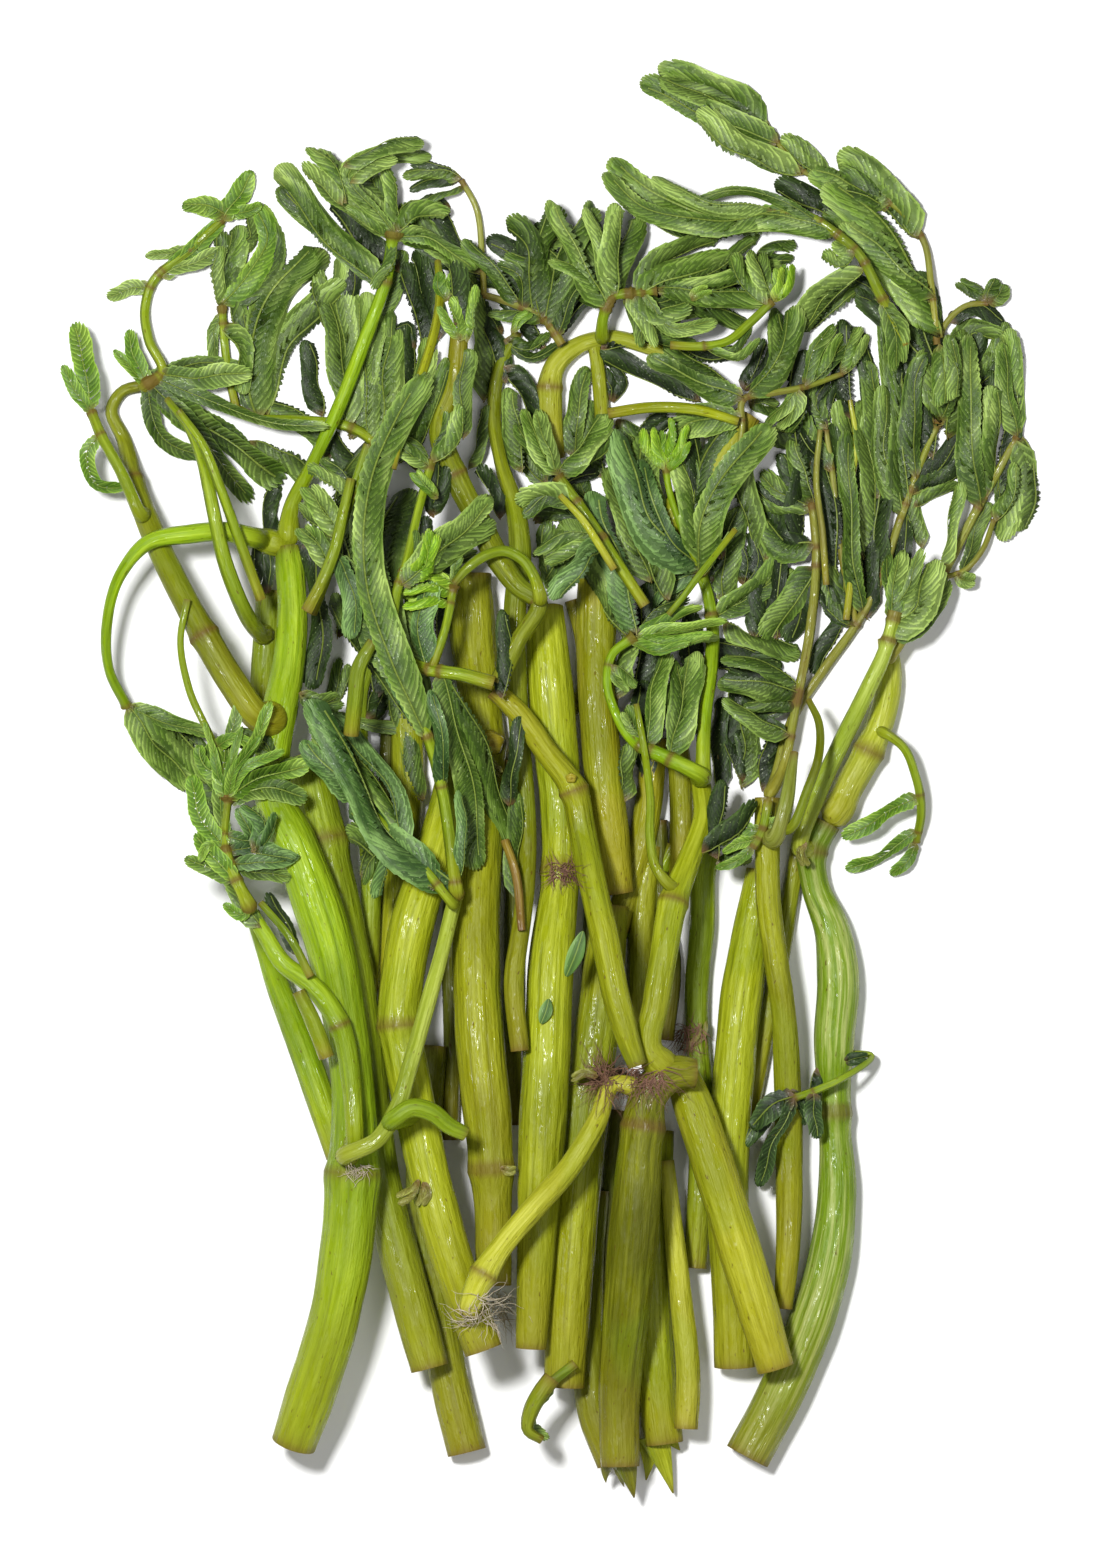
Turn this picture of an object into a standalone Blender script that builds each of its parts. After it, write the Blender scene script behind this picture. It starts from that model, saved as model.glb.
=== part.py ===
"""Water mimosa: one loose bunch of cut, branching stems with folded, wilted leaves, lying flat.

Metres, +Z up. The cut ends point to -Y and the leafy ends to +Y. The bunch lies on z = 0.
Every piece is laid in turn on the ones before it, like a stem dropped on a heap: its route in
plan is set below, and its height comes from a map of what already lies there.
"""
import math

import bmesh
import bpy
import numpy as np
from mathutils import Vector

MM = 0.001

# Size
# Routes are read from the picture; one picture pixel is this long on the real bunch.
PIXEL_MM = 0.2
PLAN_CENTRE_X = 548.7423
PLAN_CENTRE_Y = 780.9587

# Sections
STEM_SIDES = 8
SLIM_SIDES = 6
SLIM_STEM_MM = 7.7
BENDY_STEM_MM = 5.9
STALK_MM = 2.9
SLIM_LIFT_MM = 0.02
BLADE_THICKNESS_RATIO = 0.42
BLADE_THICKNESS_MIN_MM = 1.3
BLADE_THICKNESS_MAX_MM = 2.0
BLADE_BASE_RATIO = 0.34
BLADE_SHOULDER_RATIO = 0.8
BLADE_TIP_RATIO = 0.34
SHORT_BLADE_MM = 23.0

# Laying
CELL_MM = 0.5
STEP_MM = 0.34
TOP_MARGIN_MM = 0.4
UNDER_MARGIN_MM = 0.38
OWN_MARGIN_MM = 0.12
STEM_BEND_MM = 170.0
SLIM_BEND_MM = 75.0
STALK_BEND_MM = 45.0
BLADE_BEND_MM = 26.0
STEM_SOFT_MM = 4.0
LEAF_SOFT_MM = 1.5
MAP_HALF_X_MM = 125.0
MAP_HALF_Y_MM = 165.0
JOIN_REACH_MM = 4.2
FREE_BASE_MM = 5.0
BASE_DROP_MM = 0.35
LAYING_ROUNDS = 5
STACK_STEP_MM = 0.09

# Stems and branches, from the cut end up: picture x, picture y, diameter in millimetres.
# They are laid in this order, so the first ones lie lowest.

STEMS = {
    "stem_low_left": [
        (467, 1452, 7.8), (453, 1395, 7.8), (440, 1330, 8), (430, 1260, 8), (425, 1180, 7.6),
        (425, 1110, 7.4), (430, 1045, 7)],
    "stem_low_green": [
        (671, 1490, 2), (664, 1443, 7.6), (656, 1380, 8.4), (652, 1300, 8.2), (652, 1220, 7.8),
        (656, 1130, 7.2)],
    "stem_low_dark": [(614, 1462, 7), (597, 1415, 7.4), (588, 1350, 7.2), (586, 1270, 7), (592, 1190, 6.8)],
    "stem_slim_right": [
        (695, 1268, 4.8), (700, 1190, 5), (702, 1110, 5), (697, 1030, 4.8), (697, 985, 4.8), (702, 930, 5),
        (704, 870, 5), (712, 825, 4.6)],
    "stem_right_behind": [
        (736, 1366, 8.6), (733, 1290, 8.6), (728, 1220, 8.4), (729, 1140, 8.2), (734, 1070, 8.4),
        (742, 990, 8.4), (752, 930, 7.6), (762, 870, 6.4)],
    "stem_behind_leaves": [
        (393, 990, 6.4), (398, 910, 6.4), (405, 830, 6.4), (408, 760, 6.6), (408, 700, 6.4)],
    "stem_slim_left": [
        (368, 1008, 3.8), (370, 940, 4), (371, 870, 4), (364, 800, 4), (358, 740, 4.2), (358, 695, 4.2),
        (369, 653, 3.8)],
    "stem_left_stub": [(262, 712, 5), (266, 650, 5.6), (270, 590, 5.4)],
    "stem_gold_upper": [(748, 415, 5.6), (728, 450, 7), (702, 488, 7), (674, 515, 6.6), (655, 555, 6)],
    "stem_pale_upper": [(654, 738, 5), (649, 800, 5.6), (640, 850, 5.6), (628, 890, 5.4), (616, 930, 5)],
    "stem_left_behind": [
        (430, 1367, 7.6), (412, 1300, 8.2), (396, 1240, 8), (381, 1180, 7.8), (372, 1110, 7.8),
        (366, 1050, 8), (356, 985, 8.2), (342, 920, 8.6), (327, 850, 9), (316, 800, 8.8), (306, 757, 8.2)],
    "stem_centre_upper": [
        (620, 893, 5.6), (612, 840, 7), (604, 780, 7.6), (598, 700, 8), (596, 630, 8.2), (598, 558, 7.4)],
    "stem_centre_lower": [
        (564, 1386, 8.2), (568, 1300, 9.2), (576, 1200, 9.4), (586, 1100, 9.4), (598, 1020, 8.8),
        (606, 950, 8), (611, 905, 7)],
    "stem_centre": [
        (531, 1347, 6), (536, 1250, 7.6), (541, 1150, 9.2), (547, 1050, 9.4), (552, 950, 9),
        (560, 880, 7.4), (560, 800, 8.4), (553, 720, 9.2), (547, 650, 8.6), (545, 607, 7.2)],
    "stem_centre_left": [
        (494, 1284, 7), (493, 1200, 7.8), (489, 1130, 9.4), (481, 1050, 9.8), (477, 980, 9.8),
        (477, 900, 9.4), (482, 820, 8.8), (486, 740, 7.4), (478, 680, 8.6), (472, 620, 9.4), (471, 574, 8.4)],
    "stem_slim_centre": [
        (520, 1050, 3.6), (514, 980, 4), (522, 920, 3.8), (527, 870, 3.6), (526, 800, 3.6), (520, 740, 4),
        (516, 680, 4.4), (515, 610, 4.4), (520, 550, 4.6), (515, 508, 4), (501, 462, 2.8), (494, 415, 2.8),
        (501, 365, 2.6), (518, 332, 2)],
    "stem_yellow_flat": [
        (686, 1428, 4.8), (688, 1375, 5), (681, 1300, 4.6), (673, 1225, 3.8), (667, 1160, 2.8)],
    "stem_far_right": [
        (747, 1456, 9), (777, 1400, 9.4), (808, 1330, 9.2), (828, 1265, 8.6), (837, 1190, 7.8),
        (834, 1110, 6.4), (834, 1040, 8), (838, 980, 8.6), (832, 930, 7.4), (815, 885, 5.6),
        (812, 850, 5.8), (826, 822, 6)],
    "stem_right_slim": [
        (783, 1308, 3.6), (788, 1240, 5), (789, 1160, 5.6), (787, 1080, 5.4), (783, 1010, 5), (775, 955, 5),
        (768, 900, 5), (767, 845, 5), (768, 798, 5.6)],
    "stem_left_middle": [
        (484, 1348, 7.6), (463, 1290, 8.2), (444, 1230, 8.6), (431, 1180, 8.2), (418, 1120, 8.4),
        (406, 1060, 8.6), (400, 1022, 8.4), (404, 970, 8.6), (415, 915, 8.8), (432, 862, 8.2),
        (446, 810, 7.2), (455, 765, 6)],
    "stem_gold_slant": [
        (775, 1367, 7.6), (755, 1300, 8.4), (732, 1225, 8.6), (710, 1155, 8.6), (693, 1105, 8),
        (682, 1075, 6.8)],
    "stem_front_elbow": [
        (630, 1495, 3), (620, 1465, 7.6), (619, 1400, 8.2), (627, 1300, 9.6), (636, 1200, 9.6),
        (642, 1130, 8.4), (650, 1092, 7.4), (672, 1072, 7.2), (695, 1072, 5.8)],
    "stem_left_edge": [
        (340, 1155, 5.6), (318, 1090, 5.8), (300, 1040, 5.6), (280, 990, 5), (264, 945, 3.8), (252, 912, 3)],
    "stem_left_front": [
        (294, 1443, 9), (314, 1385, 10), (334, 1320, 10.2), (348, 1240, 10.6), (353, 1180, 10.4),
        (355, 1120, 9.2), (351, 1060, 8.6), (342, 1000, 8.8), (329, 940, 9.6), (313, 890, 9.8),
        (294, 840, 9), (274, 795, 7.4), (273, 760, 7), (280, 715, 7.2), (290, 660, 6.6), (293, 610, 6),
        (290, 565, 5.6), (288, 548, 4.8)],
    "branch_left_long": [
        (258, 716, 5.8), (235, 685, 5.8), (205, 635, 5.6), (178, 585, 5.2), (152, 530, 4.8), (134, 480, 4),
        (124, 440, 3), (112, 408, 2.6), (122, 392, 2.4), (146, 385, 2.4)],
    "branch_left_leafy": [
        (356, 1140, 3.6), (352, 1080, 4), (341, 1025, 4.2), (314, 985, 4), (284, 962, 3.6), (265, 932, 3.2),
        (247, 903, 2.6)],
    "stem_forked": [
        (650, 1050, 5), (656, 1000, 5.4), (664, 950, 5.6), (672, 905, 5.8), (688, 862, 4.6),
        (704, 815, 4.4), (700, 778, 3.8)],
    "branch_arched": [
        (560, 458, 2.2), (550, 410, 5), (556, 365, 4.4), (580, 345, 3.6), (612, 338, 3.2), (648, 347, 3),
        (682, 362, 2.8), (712, 385, 2.2)],
    "branch_zigzag_lower": [
        (495, 690, 3.6), (520, 715, 4.6), (545, 750, 4.8), (573, 789, 5.4), (582, 830, 5.4),
        (592, 880, 5.6), (605, 940, 5.8), (617, 1000, 5.4), (629, 1042, 4.6), (637, 1064, 3.8)],
    "branch_zigzag_upper": [
        (460, 330, 3.4), (454, 390, 4.4), (441, 432, 4.8), (455, 475, 4.8), (478, 520, 4.8),
        (500, 562, 4.8), (522, 590, 4), (538, 600, 3.6), (518, 642, 3.4), (498, 684, 3.8)],
    "branch_yellow_slant": [
        (614, 1083, 3.2), (597, 1120, 4.2), (570, 1165, 4.6), (535, 1205, 4.6), (500, 1247, 4.6),
        (482, 1275, 5.4), (466, 1312, 4.4)],
    "branch_slim_left": [
        (349, 1152, 3.6), (378, 1138, 3.4), (397, 1108, 3.4), (412, 1060, 3.2), (429, 1000, 3.2),
        (444, 945, 3), (456, 895, 3)],
    "branch_right_upper": [
        (836, 812, 5), (850, 785, 6), (868, 752, 6), (884, 710, 5.4), (890, 670, 4.6), (886, 638, 3.4)],
}
LEAVES = {
    "leaf_back_left": dict(
        stalks=[[(398, 462, 2.2), (352, 428, 2.2), (300, 420, 2), (252, 416, 1.8), (236, 408, 1.8)],
                [(236, 408, 1.8), (228, 370, 1.8), (224, 335, 1.8), (222, 306, 1.8)]],
        blades=[(4.8, (252, 416), (259, 350), (262, 292)), (7.4, (262, 416), (268, 330), (325, 252)),

                (5.2, (352, 426), (350, 340), (344, 252)), (4.4, (376, 442), (372, 370), (366, 292)),
                (5.2, (388, 452), (394, 390), (400, 330)), (4.6, (398, 460), (421, 390), (426, 338)),
                (4.2, (222, 308), (236, 265), (242, 225)),
                (4.8, (222, 306), (250, 283), (271, 240), (258, 204)),
                (4.4, (224, 325), (242, 345), (244, 395))]),
    "leaf_top_middle": dict(
        stalks=[[(562, 345, 2.8), (545, 320, 2.4), (515, 305, 2.2), (484, 295, 2)],
                [(484, 295, 1.8), (482, 255, 1.8), (475, 205, 1.8), (461, 180, 1.6)]],
        blades=[(4.6, (482, 272), (440, 242), (400, 205)),
                (4.4, (545, 318), (537, 265), (575, 238)),
                (5, (548, 318), (544, 255), (560, 207)), (5.2, (552, 325), (572, 250), (598, 210)),
                (5.4, (525, 308), (528, 268), (500, 256)), (5, (540, 312), (534, 240), (508, 217)),
                (3.6, (556, 335), (582, 280), (606, 264)), (2.9, (460, 180), (432, 174), (402, 177))]),
    "leaf_top_arch": dict(
        stalks=[[(602, 336, 2.2), (605, 312, 2.2), (612, 298, 2), (634, 294, 2), (656, 291, 1.8)]],
        blades=[(3.2, (607, 305), (600, 250), (584, 208)), (5, (612, 298), (611, 250), (615, 204)),
                (4.6, (605, 310), (572, 258), (548, 201)),
                (5.2, (632, 294), (685, 264), (745, 262)), (3.8, (656, 291), (710, 283), (784, 262)),
                (4.2, (656, 291), (715, 300), (768, 303)), (4, (632, 295), (662, 318), (692, 308)),
                (2.8, (625, 296), (645, 325), (656, 348)), (3, (640, 296), (680, 334), (717, 322)),
                ]),
    "leaf_top_runner": dict(
        stalks=[[(670, 346, 1.8), (702, 347, 1.8), (727, 342, 1.8), (748, 325, 1.8), (772, 302, 1.6)]],
        blades=[(3.8, (772, 302), (786, 285), (788, 262)), (5.2, (768, 304), (748, 275), (738, 246)),
                (2.2, (705, 347), (735, 359), (760, 339))]),
    "leaf_right_tall": dict(
        stalks=[[(775, 778, 3), (792, 720, 2.8), (825, 668, 2.8), (856, 625, 2.6), (880, 580, 2.6),
                 (900, 520, 2.4), (918, 470, 2.2), (938, 424, 2)],
                [(856, 625, 2.2), (850, 598, 2.2), (844, 570, 2), (838, 530, 2), (832, 470, 1.8),
                 (826, 430, 1.6)],
                [(938, 424, 1.8), (942, 375, 1.8), (945, 325, 1.8), (966, 306, 1.8), (988, 303, 1.8)]],
        blades=[(4.6, (938, 424), (975, 388), (1007, 322)),
                (6.4, (940, 424), (925, 340), (882, 262)), (5.2, (905, 505), (893, 420), (884, 300)),
                (4.6, (915, 478), (908, 405), (925, 350)),
                (4.4, (910, 492), (950, 460), (986, 426)), (5.2, (882, 576), (868, 490), (860, 400)),
                (5.4, (856, 625), (835, 600), (824, 560)),
                (4.8, (988, 303), (998, 292), (1003, 280)),
                (4, (826, 430), (815, 400), (822, 372)), (4.4, (832, 470), (810, 440), (800, 410))]),
    "leaf_right_edge": dict(
        stalks=[[(890, 657, 3), (915, 620, 3), (940, 578, 3), (960, 542, 2.8), (982, 500, 2.6),
                 (1000, 468, 2.4), (1017, 436, 2)],
                [(942, 580, 1.6), (965, 570, 1.6), (981, 552, 1.6), (994, 520, 1.6)]],
        blades=[(4.2, (1017, 436), (1015, 385), (1008, 328)), (4.2, (1016, 438), (1004, 388), (1000, 342)),
                (5.4, (984, 496), (992, 440), (990, 385)), (5.8, (978, 506), (965, 420), (968, 335)),
                (6, (1017, 437), (1021, 482), (1001, 541)), (3.4, (958, 575), (966, 582), (978, 580)),
                (3.4, (994, 520), (1006, 500), (1014, 462))]),
    "leaf_crown_right": dict(
        stalks=[[(937, 345, 2), (931, 285, 2), (923, 240, 2), (895, 206, 2), (850, 188, 2), (803, 171, 1.8),
                 (768, 130, 1.6)]],
        blades=[(5, (768, 130), (725, 88), (657, 68)), (5, (778, 142), (710, 110), (640, 80)),
                (5.2, (803, 171), (752, 150), (697, 110)), (4.2, (832, 182), (805, 156), (782, 135)),
                (6.2, (920, 238), (885, 187), (838, 152)), (5.4, (890, 208), (850, 192), (808, 174)),
                (7.6, (937, 340), (885, 248), (822, 186)), (5.6, (932, 300), (882, 264), (840, 224)),
                (5.6, (937, 345), (945, 380), (944, 410))]),
    "leaf_crown_sweep": dict(
        stalks=[[(905, 345, 2.2), (880, 295, 2.2), (856, 252, 2), (838, 236, 2), (800, 214, 1.8),
                 (772, 212, 1.6)]],
        blades=[(6.6, (790, 212), (690, 215), (607, 160)),
                (4.2, (838, 236), (775, 225), (690, 230)),
                (4.6, (775, 214), (680, 226), (603, 174)), (4.8, (852, 252), (838, 258), (825, 246)),
                (4.4, (864, 266), (826, 290), (786, 335)), (5, (882, 300), (896, 330), (900, 372))]),
    "leaf_gold_stalk": dict(
        stalks=[[(735, 472, 2), (742, 430, 2), (743, 400, 2), (770, 394, 2), (805, 387, 1.8),
                 (842, 374, 1.6)]],
        blades=[(3.8, (842, 374), (855, 350), (868, 325)), (4.6, (805, 387), (822, 354), (840, 326)),
                (4.8, (748, 398), (782, 372), (797, 306)), (5.4, (743, 400), (700, 385), (646, 358)),
                (5, (800, 388), (788, 415), (768, 432)), (5, (740, 420), (700, 425), (668, 440))]),
    "leaf_centre_right": dict(
        stalks=[[(702, 772, 3), (704, 720, 2.8), (711, 665, 2.8), (712, 620, 2.6), (706, 588, 2.4),
                 (700, 572, 2.2)],
                [(700, 572, 1.6), (682, 530, 1.4), (669, 490, 1.4), (665, 464, 1.4)]],
        blades=[(6.4, (702, 572), (722, 492), (773, 426)), (5, (699, 570), (690, 510), (668, 452)),
                (5.4, (696, 572), (656, 522), (640, 460)), (6.8, (692, 574), (640, 520), (613, 430)),
                (3.4, (698, 574), (665, 590), (641, 619)), (3.8, (712, 614), (750, 590), (787, 543)),
                (2.1, (666, 466), (678, 447), (688, 425)),
                (3.8, (664, 470), (650, 446), (646, 425))]),
    "leaf_centre_hook": dict(
        stalks=[[(697, 773, 3.4), (665, 757, 3), (635, 742, 2.6), (615, 712, 2), (607, 680, 1.8),
                 (612, 655, 1.8), (634, 637, 2)]],
        blades=[(2.6, (634, 636), (670, 616), (703, 607)), (2.6, (634, 637), (682, 627), (727, 621)),

                (6.4, (634, 636), (606, 560), (591, 492)), (3.4, (608, 665), (619, 676), (634, 692)),
                (3.8, (640, 744), (632, 725), (623, 705)), (4.4, (650, 750), (655, 700), (668, 652)),
                (4.4, (672, 760), (690, 705), (697, 652))]),
    "leaf_centre": dict(
        stalks=[[(645, 606, 2.4), (615, 560, 2.4), (590, 522, 2.4), (558, 477, 2.2)]],
        blades=[(5.8, (558, 477), (540, 440), (527, 402)), (4.4, (560, 476), (585, 452), (610, 416)),
                (4.8, (600, 538), (566, 546), (535, 560)), (4.4, (602, 540), (570, 572), (550, 600)),
                (4.2, (578, 504), (545, 491), (515, 503))]),
    "leaf_centre_left": dict(
        stalks=[[(494, 684, 3), (462, 675, 2.8), (430, 670, 2.6), (402, 660, 2.4)],
                [(432, 670, 2), (446, 628, 1.8), (454, 587, 1.8)]],
        blades=[(5.2, (440, 672), (463, 775), (476, 870)), (2.5, (454, 584), (427, 574), (402, 582)),
                (2.5, (454, 586), (427, 590), (401, 597)), (2.3, (452, 588), (427, 601), (403, 608)),
                (4.6, (430, 670), (424, 630), (432, 580))]),
    "leaf_crown_left": dict(
        stalks=[[(289, 540, 3.6), (291, 512, 3.4), (310, 470, 2.8), (338, 410, 2.8), (365, 340, 2.8),
                 (386, 280, 2.6), (394, 232, 2.4)]],
        blades=[(5.2, (385, 284), (330, 228), (277, 165)), (5.8, (394, 232), (362, 190), (323, 167)),
                (4.6, (393, 234), (345, 195), (318, 150)),
                (3.2, (392, 236), (350, 172), (378, 151), (423, 143)),
                (3.4, (395, 228), (392, 195), (382, 165)), (4.4, (394, 234), (430, 238), (478, 268)),
                (4.2, (395, 230), (418, 208), (450, 212))]),
    "leaf_left_tip": dict(
        stalks=[[(146, 385, 2.4), (162, 374, 2.2), (149, 340, 2), (145, 310, 2), (151, 286, 2),
                 (190, 250, 1.8), (228, 215, 1.6)]],
        blades=[(4.9, (222, 220), (240, 192), (253, 171)), (4.2, (166, 272), (195, 247), (224, 220)),
                (4.8, (226, 216), (205, 207), (183, 206)),
                (3.2, (160, 277), (195, 263), (228, 250)),
                (3.2, (151, 286), (128, 289), (107, 297)), (4.9, (162, 377), (205, 378), (253, 373)),
                (6.6, (152, 386), (215, 432), (284, 484)), (3.6, (147, 384), (138, 362), (129, 330)),
                (3.6, (150, 386), (160, 440), (204, 456)),
                (4.2, (152, 388), (208, 445), (251, 502)), (3.4, (158, 380), (245, 415), (330, 427))]),
    "leaf_far_left": dict(
        stalks=[[(142, 515, 2.6), (122, 472, 2.4), (102, 436, 2.2), (92, 412, 2)]],
        blades=[(4.8, (92, 412), (88, 370), (76, 323)), (2.9, (93, 414), (78, 392), (63, 366)),
                (3.4, (102, 436), (87, 455), (97, 482), (127, 488))]),
    "leaf_left_arch": dict(
        stalks=[[(266, 541, 4.2), (248, 537, 4.2), (230, 533, 4), (190, 535, 3.8), (150, 543, 3.2),
                 (122, 575, 2.4), (108, 625, 2.2), (110, 670, 2), (127, 706, 2)]],
        blades=[(8.4, (127, 706), (165, 747), (206, 792)), (3.4, (127, 706), (172, 720), (212, 735))]),
    "leaf_left_low": dict(
        stalks=[[(250, 905, 2.6), (238, 880, 2.4), (226, 845, 2.2), (228, 800, 2)],
                [(228, 800, 1.6), (216, 748, 1.5), (190, 688, 1.5), (182, 640, 1.4), (189, 600, 1.4)]],
        blades=[(4.2, (238, 880), (216, 855), (197, 833)), (4.2, (228, 850), (205, 818), (192, 775)),
                (4.6, (228, 800), (224, 772), (224, 738)), (5.2, (229, 798), (268, 772), (311, 765)),
                (3, (230, 850), (262, 842), (276, 815)),
                (3.4, (232, 862), (268, 862), (301, 855)),
                (3.4, (228, 798), (252, 745), (273, 702)),
                (4, (222, 775), (205, 765), (200, 745))]),
    "leaf_long_strap": dict(
        stalks=[[(456, 892, 2.8), (451, 845, 2.6), (442, 787, 2.4), (428, 737, 2.2), (400, 680, 2)],
                [(400, 680, 2), (394, 640, 2), (397, 595, 2), (408, 560, 2), (418, 515, 1.8),
                 (432, 462, 1.8)]],
        blades=[(4.4, (428, 737), (388, 645), (360, 560)), (8, (400, 680), (362, 570), (373, 472)),
                (5.4, (394, 652), (372, 500), (416, 420)),
                (5.6, (400, 585), (442, 545), (491, 498)), (4.6, (404, 575), (425, 570), (436, 530)),
                (3.6, (430, 470), (408, 452), (385, 442)), (3.8, (432, 462), (455, 435), (460, 405))]),
    "leaf_broad_left": dict(
        stalks=[[(452, 902, 2), (420, 862, 1.8), (385, 825, 1.8), (352, 793, 1.6)]],
        blades=[(6, (440, 888), (398, 842), (354, 800)), (8, (358, 798), (332, 762), (304, 728)),
                (3.6, (410, 852), (385, 770), (325, 713)), (2.8, (400, 842), (385, 860), (374, 898))]),
    "leaf_middle_left": dict(
        stalks=[[(312, 614, 2.4), (330, 570, 2.2), (345, 520, 2), (369, 446, 2)]],
        blades=[(5, (340, 540), (322, 505), (303, 480)), (4.8, (330, 570), (318, 545), (300, 525)),
                (4, (336, 555), (350, 590), (352, 640)), (3.4, (352, 498), (332, 478), (309, 466))]),
    "leaf_low_right": dict(
        stalks=[[(871, 1055, 1.2), (845, 1076, 1.4), (815, 1090, 1.6), (792, 1098, 1.6)]],
        blades=[(5.4, (795, 1097), (775, 1105), (751, 1128)), (3.4, (794, 1098), (772, 1142), (758, 1186)),
                (3.6, (812, 1091), (813, 1112), (816, 1138))]),
    "leaf_low_curl": dict(
        stalks=[[(575, 1362, 2), (552, 1380, 2)]],
        blades=[(3.4, (553, 1380), (536, 1402), (528, 1424), (549, 1437))]),
    "leaf_right_curl": dict(
        stalks=[[(886, 734, 1.8), (902, 746, 1.8), (915, 775, 1.8), (921, 812, 1.8), (916, 842, 1.6)]],
        blades=[(3.8, (920, 795), (885, 815), (841, 837)), (3, (918, 830), (880, 855), (845, 870)),
                (2.6, (916, 842), (907, 860), (890, 875))]),
    "leaf_small_right": dict(
        stalks=[[(768, 800, 2), (762, 830, 2), (752, 848, 1.8)]],
        blades=[(3, (762, 830), (738, 830), (718, 845)), (2.4, (754, 846), (736, 862), (715, 868)),
                (2.6, (764, 826), (775, 822), (790, 819)), (2.6, (758, 838), (735, 845), (722, 852))]),
    "leaf_right_dark": dict(
        stalks=[[(782, 770, 2.8), (797, 700, 2.8), (812, 615, 2.8), (816, 555, 2.6), (812, 503, 2.4)]],
        blades=[(3.8, (812, 505), (785, 492), (761, 471)), (3, (813, 508), (780, 513), (745, 495)),
                (5.4, (815, 565), (788, 602), (764, 640)), (5, (816, 548), (780, 548), (752, 512)),
                (3.6, (799, 690), (756, 664), (720, 660)), (4.8, (798, 696), (750, 690), (717, 683)),
                (3, (797, 704), (770, 707), (743, 706)), (3.8, (790, 738), (752, 722), (722, 699)),
                (4.4, (812, 505), (795, 470), (790, 440))]),
    "leaf_bright_right": dict(
        stalks=[[(800, 847, 3.4), (817, 795, 3.6), (840, 745, 3.6), (866, 692, 3.4), (885, 650, 3),
                 (895, 612, 2.6)]],
        blades=[(6, (893, 620), (904, 590), (911, 545)), (5.2, (888, 640), (925, 607), (938, 560)),
                (2.6, (895, 612), (915, 575), (922, 548))]),
}

# A branch or leaf stalk starts at the height of the piece it grows from.
GROWS_FROM = {
    "branch_left_long": "stem_left_front",
    "branch_left_leafy": "stem_left_front",
    "branch_slim_left": "stem_left_front",
    "branch_zigzag_upper": "branch_zigzag_lower",
    "branch_yellow_slant": "stem_front_elbow",
    "branch_right_upper": "stem_far_right",
    "leaf_left_tip": "branch_left_long",
    "leaf_far_left": "branch_left_long",
    "leaf_left_arch": "stem_left_front",
    "leaf_crown_left": "stem_left_front",
    "leaf_left_low": "branch_left_leafy",
    "leaf_long_strap": "branch_slim_left",
    "leaf_broad_left": "branch_slim_left",
    "leaf_bright_right": "stem_far_right",
    "leaf_right_edge": "branch_right_upper",
    "leaf_right_curl": "branch_right_upper",
    "leaf_centre_right": "stem_forked",
    "leaf_centre_hook": "stem_forked",

    "leaf_low_right": "stem_far_right",
    "leaf_top_arch": "branch_arched",
}

STEM_COLOUR = (0.30, 0.40, 0.06, 1.0)
BRANCH_COLOUR = (0.27, 0.42, 0.09, 1.0)
LEAF_COLOUR = (0.10, 0.24, 0.07, 1.0)


def plan(x, y):
    """Picture pixels to millimetres on the floor, +Y towards the leafy end."""
    return np.array([(x - PLAN_CENTRE_X) * PIXEL_MM, (PLAN_CENTRE_Y - y) * PIXEL_MM])


def side_vectors(centres):
    """Unit vectors across a route, one for each of its points."""
    ahead = np.diff(centres, axis=0)
    ahead /= np.linalg.norm(ahead, axis=1)[:, None]
    along = np.vstack([ahead[:1], ahead[:-1] + ahead[1:], ahead[-1:]])
    along /= np.linalg.norm(along, axis=1)[:, None]
    return np.column_stack([-along[:, 1], along[:, 0]])


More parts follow.
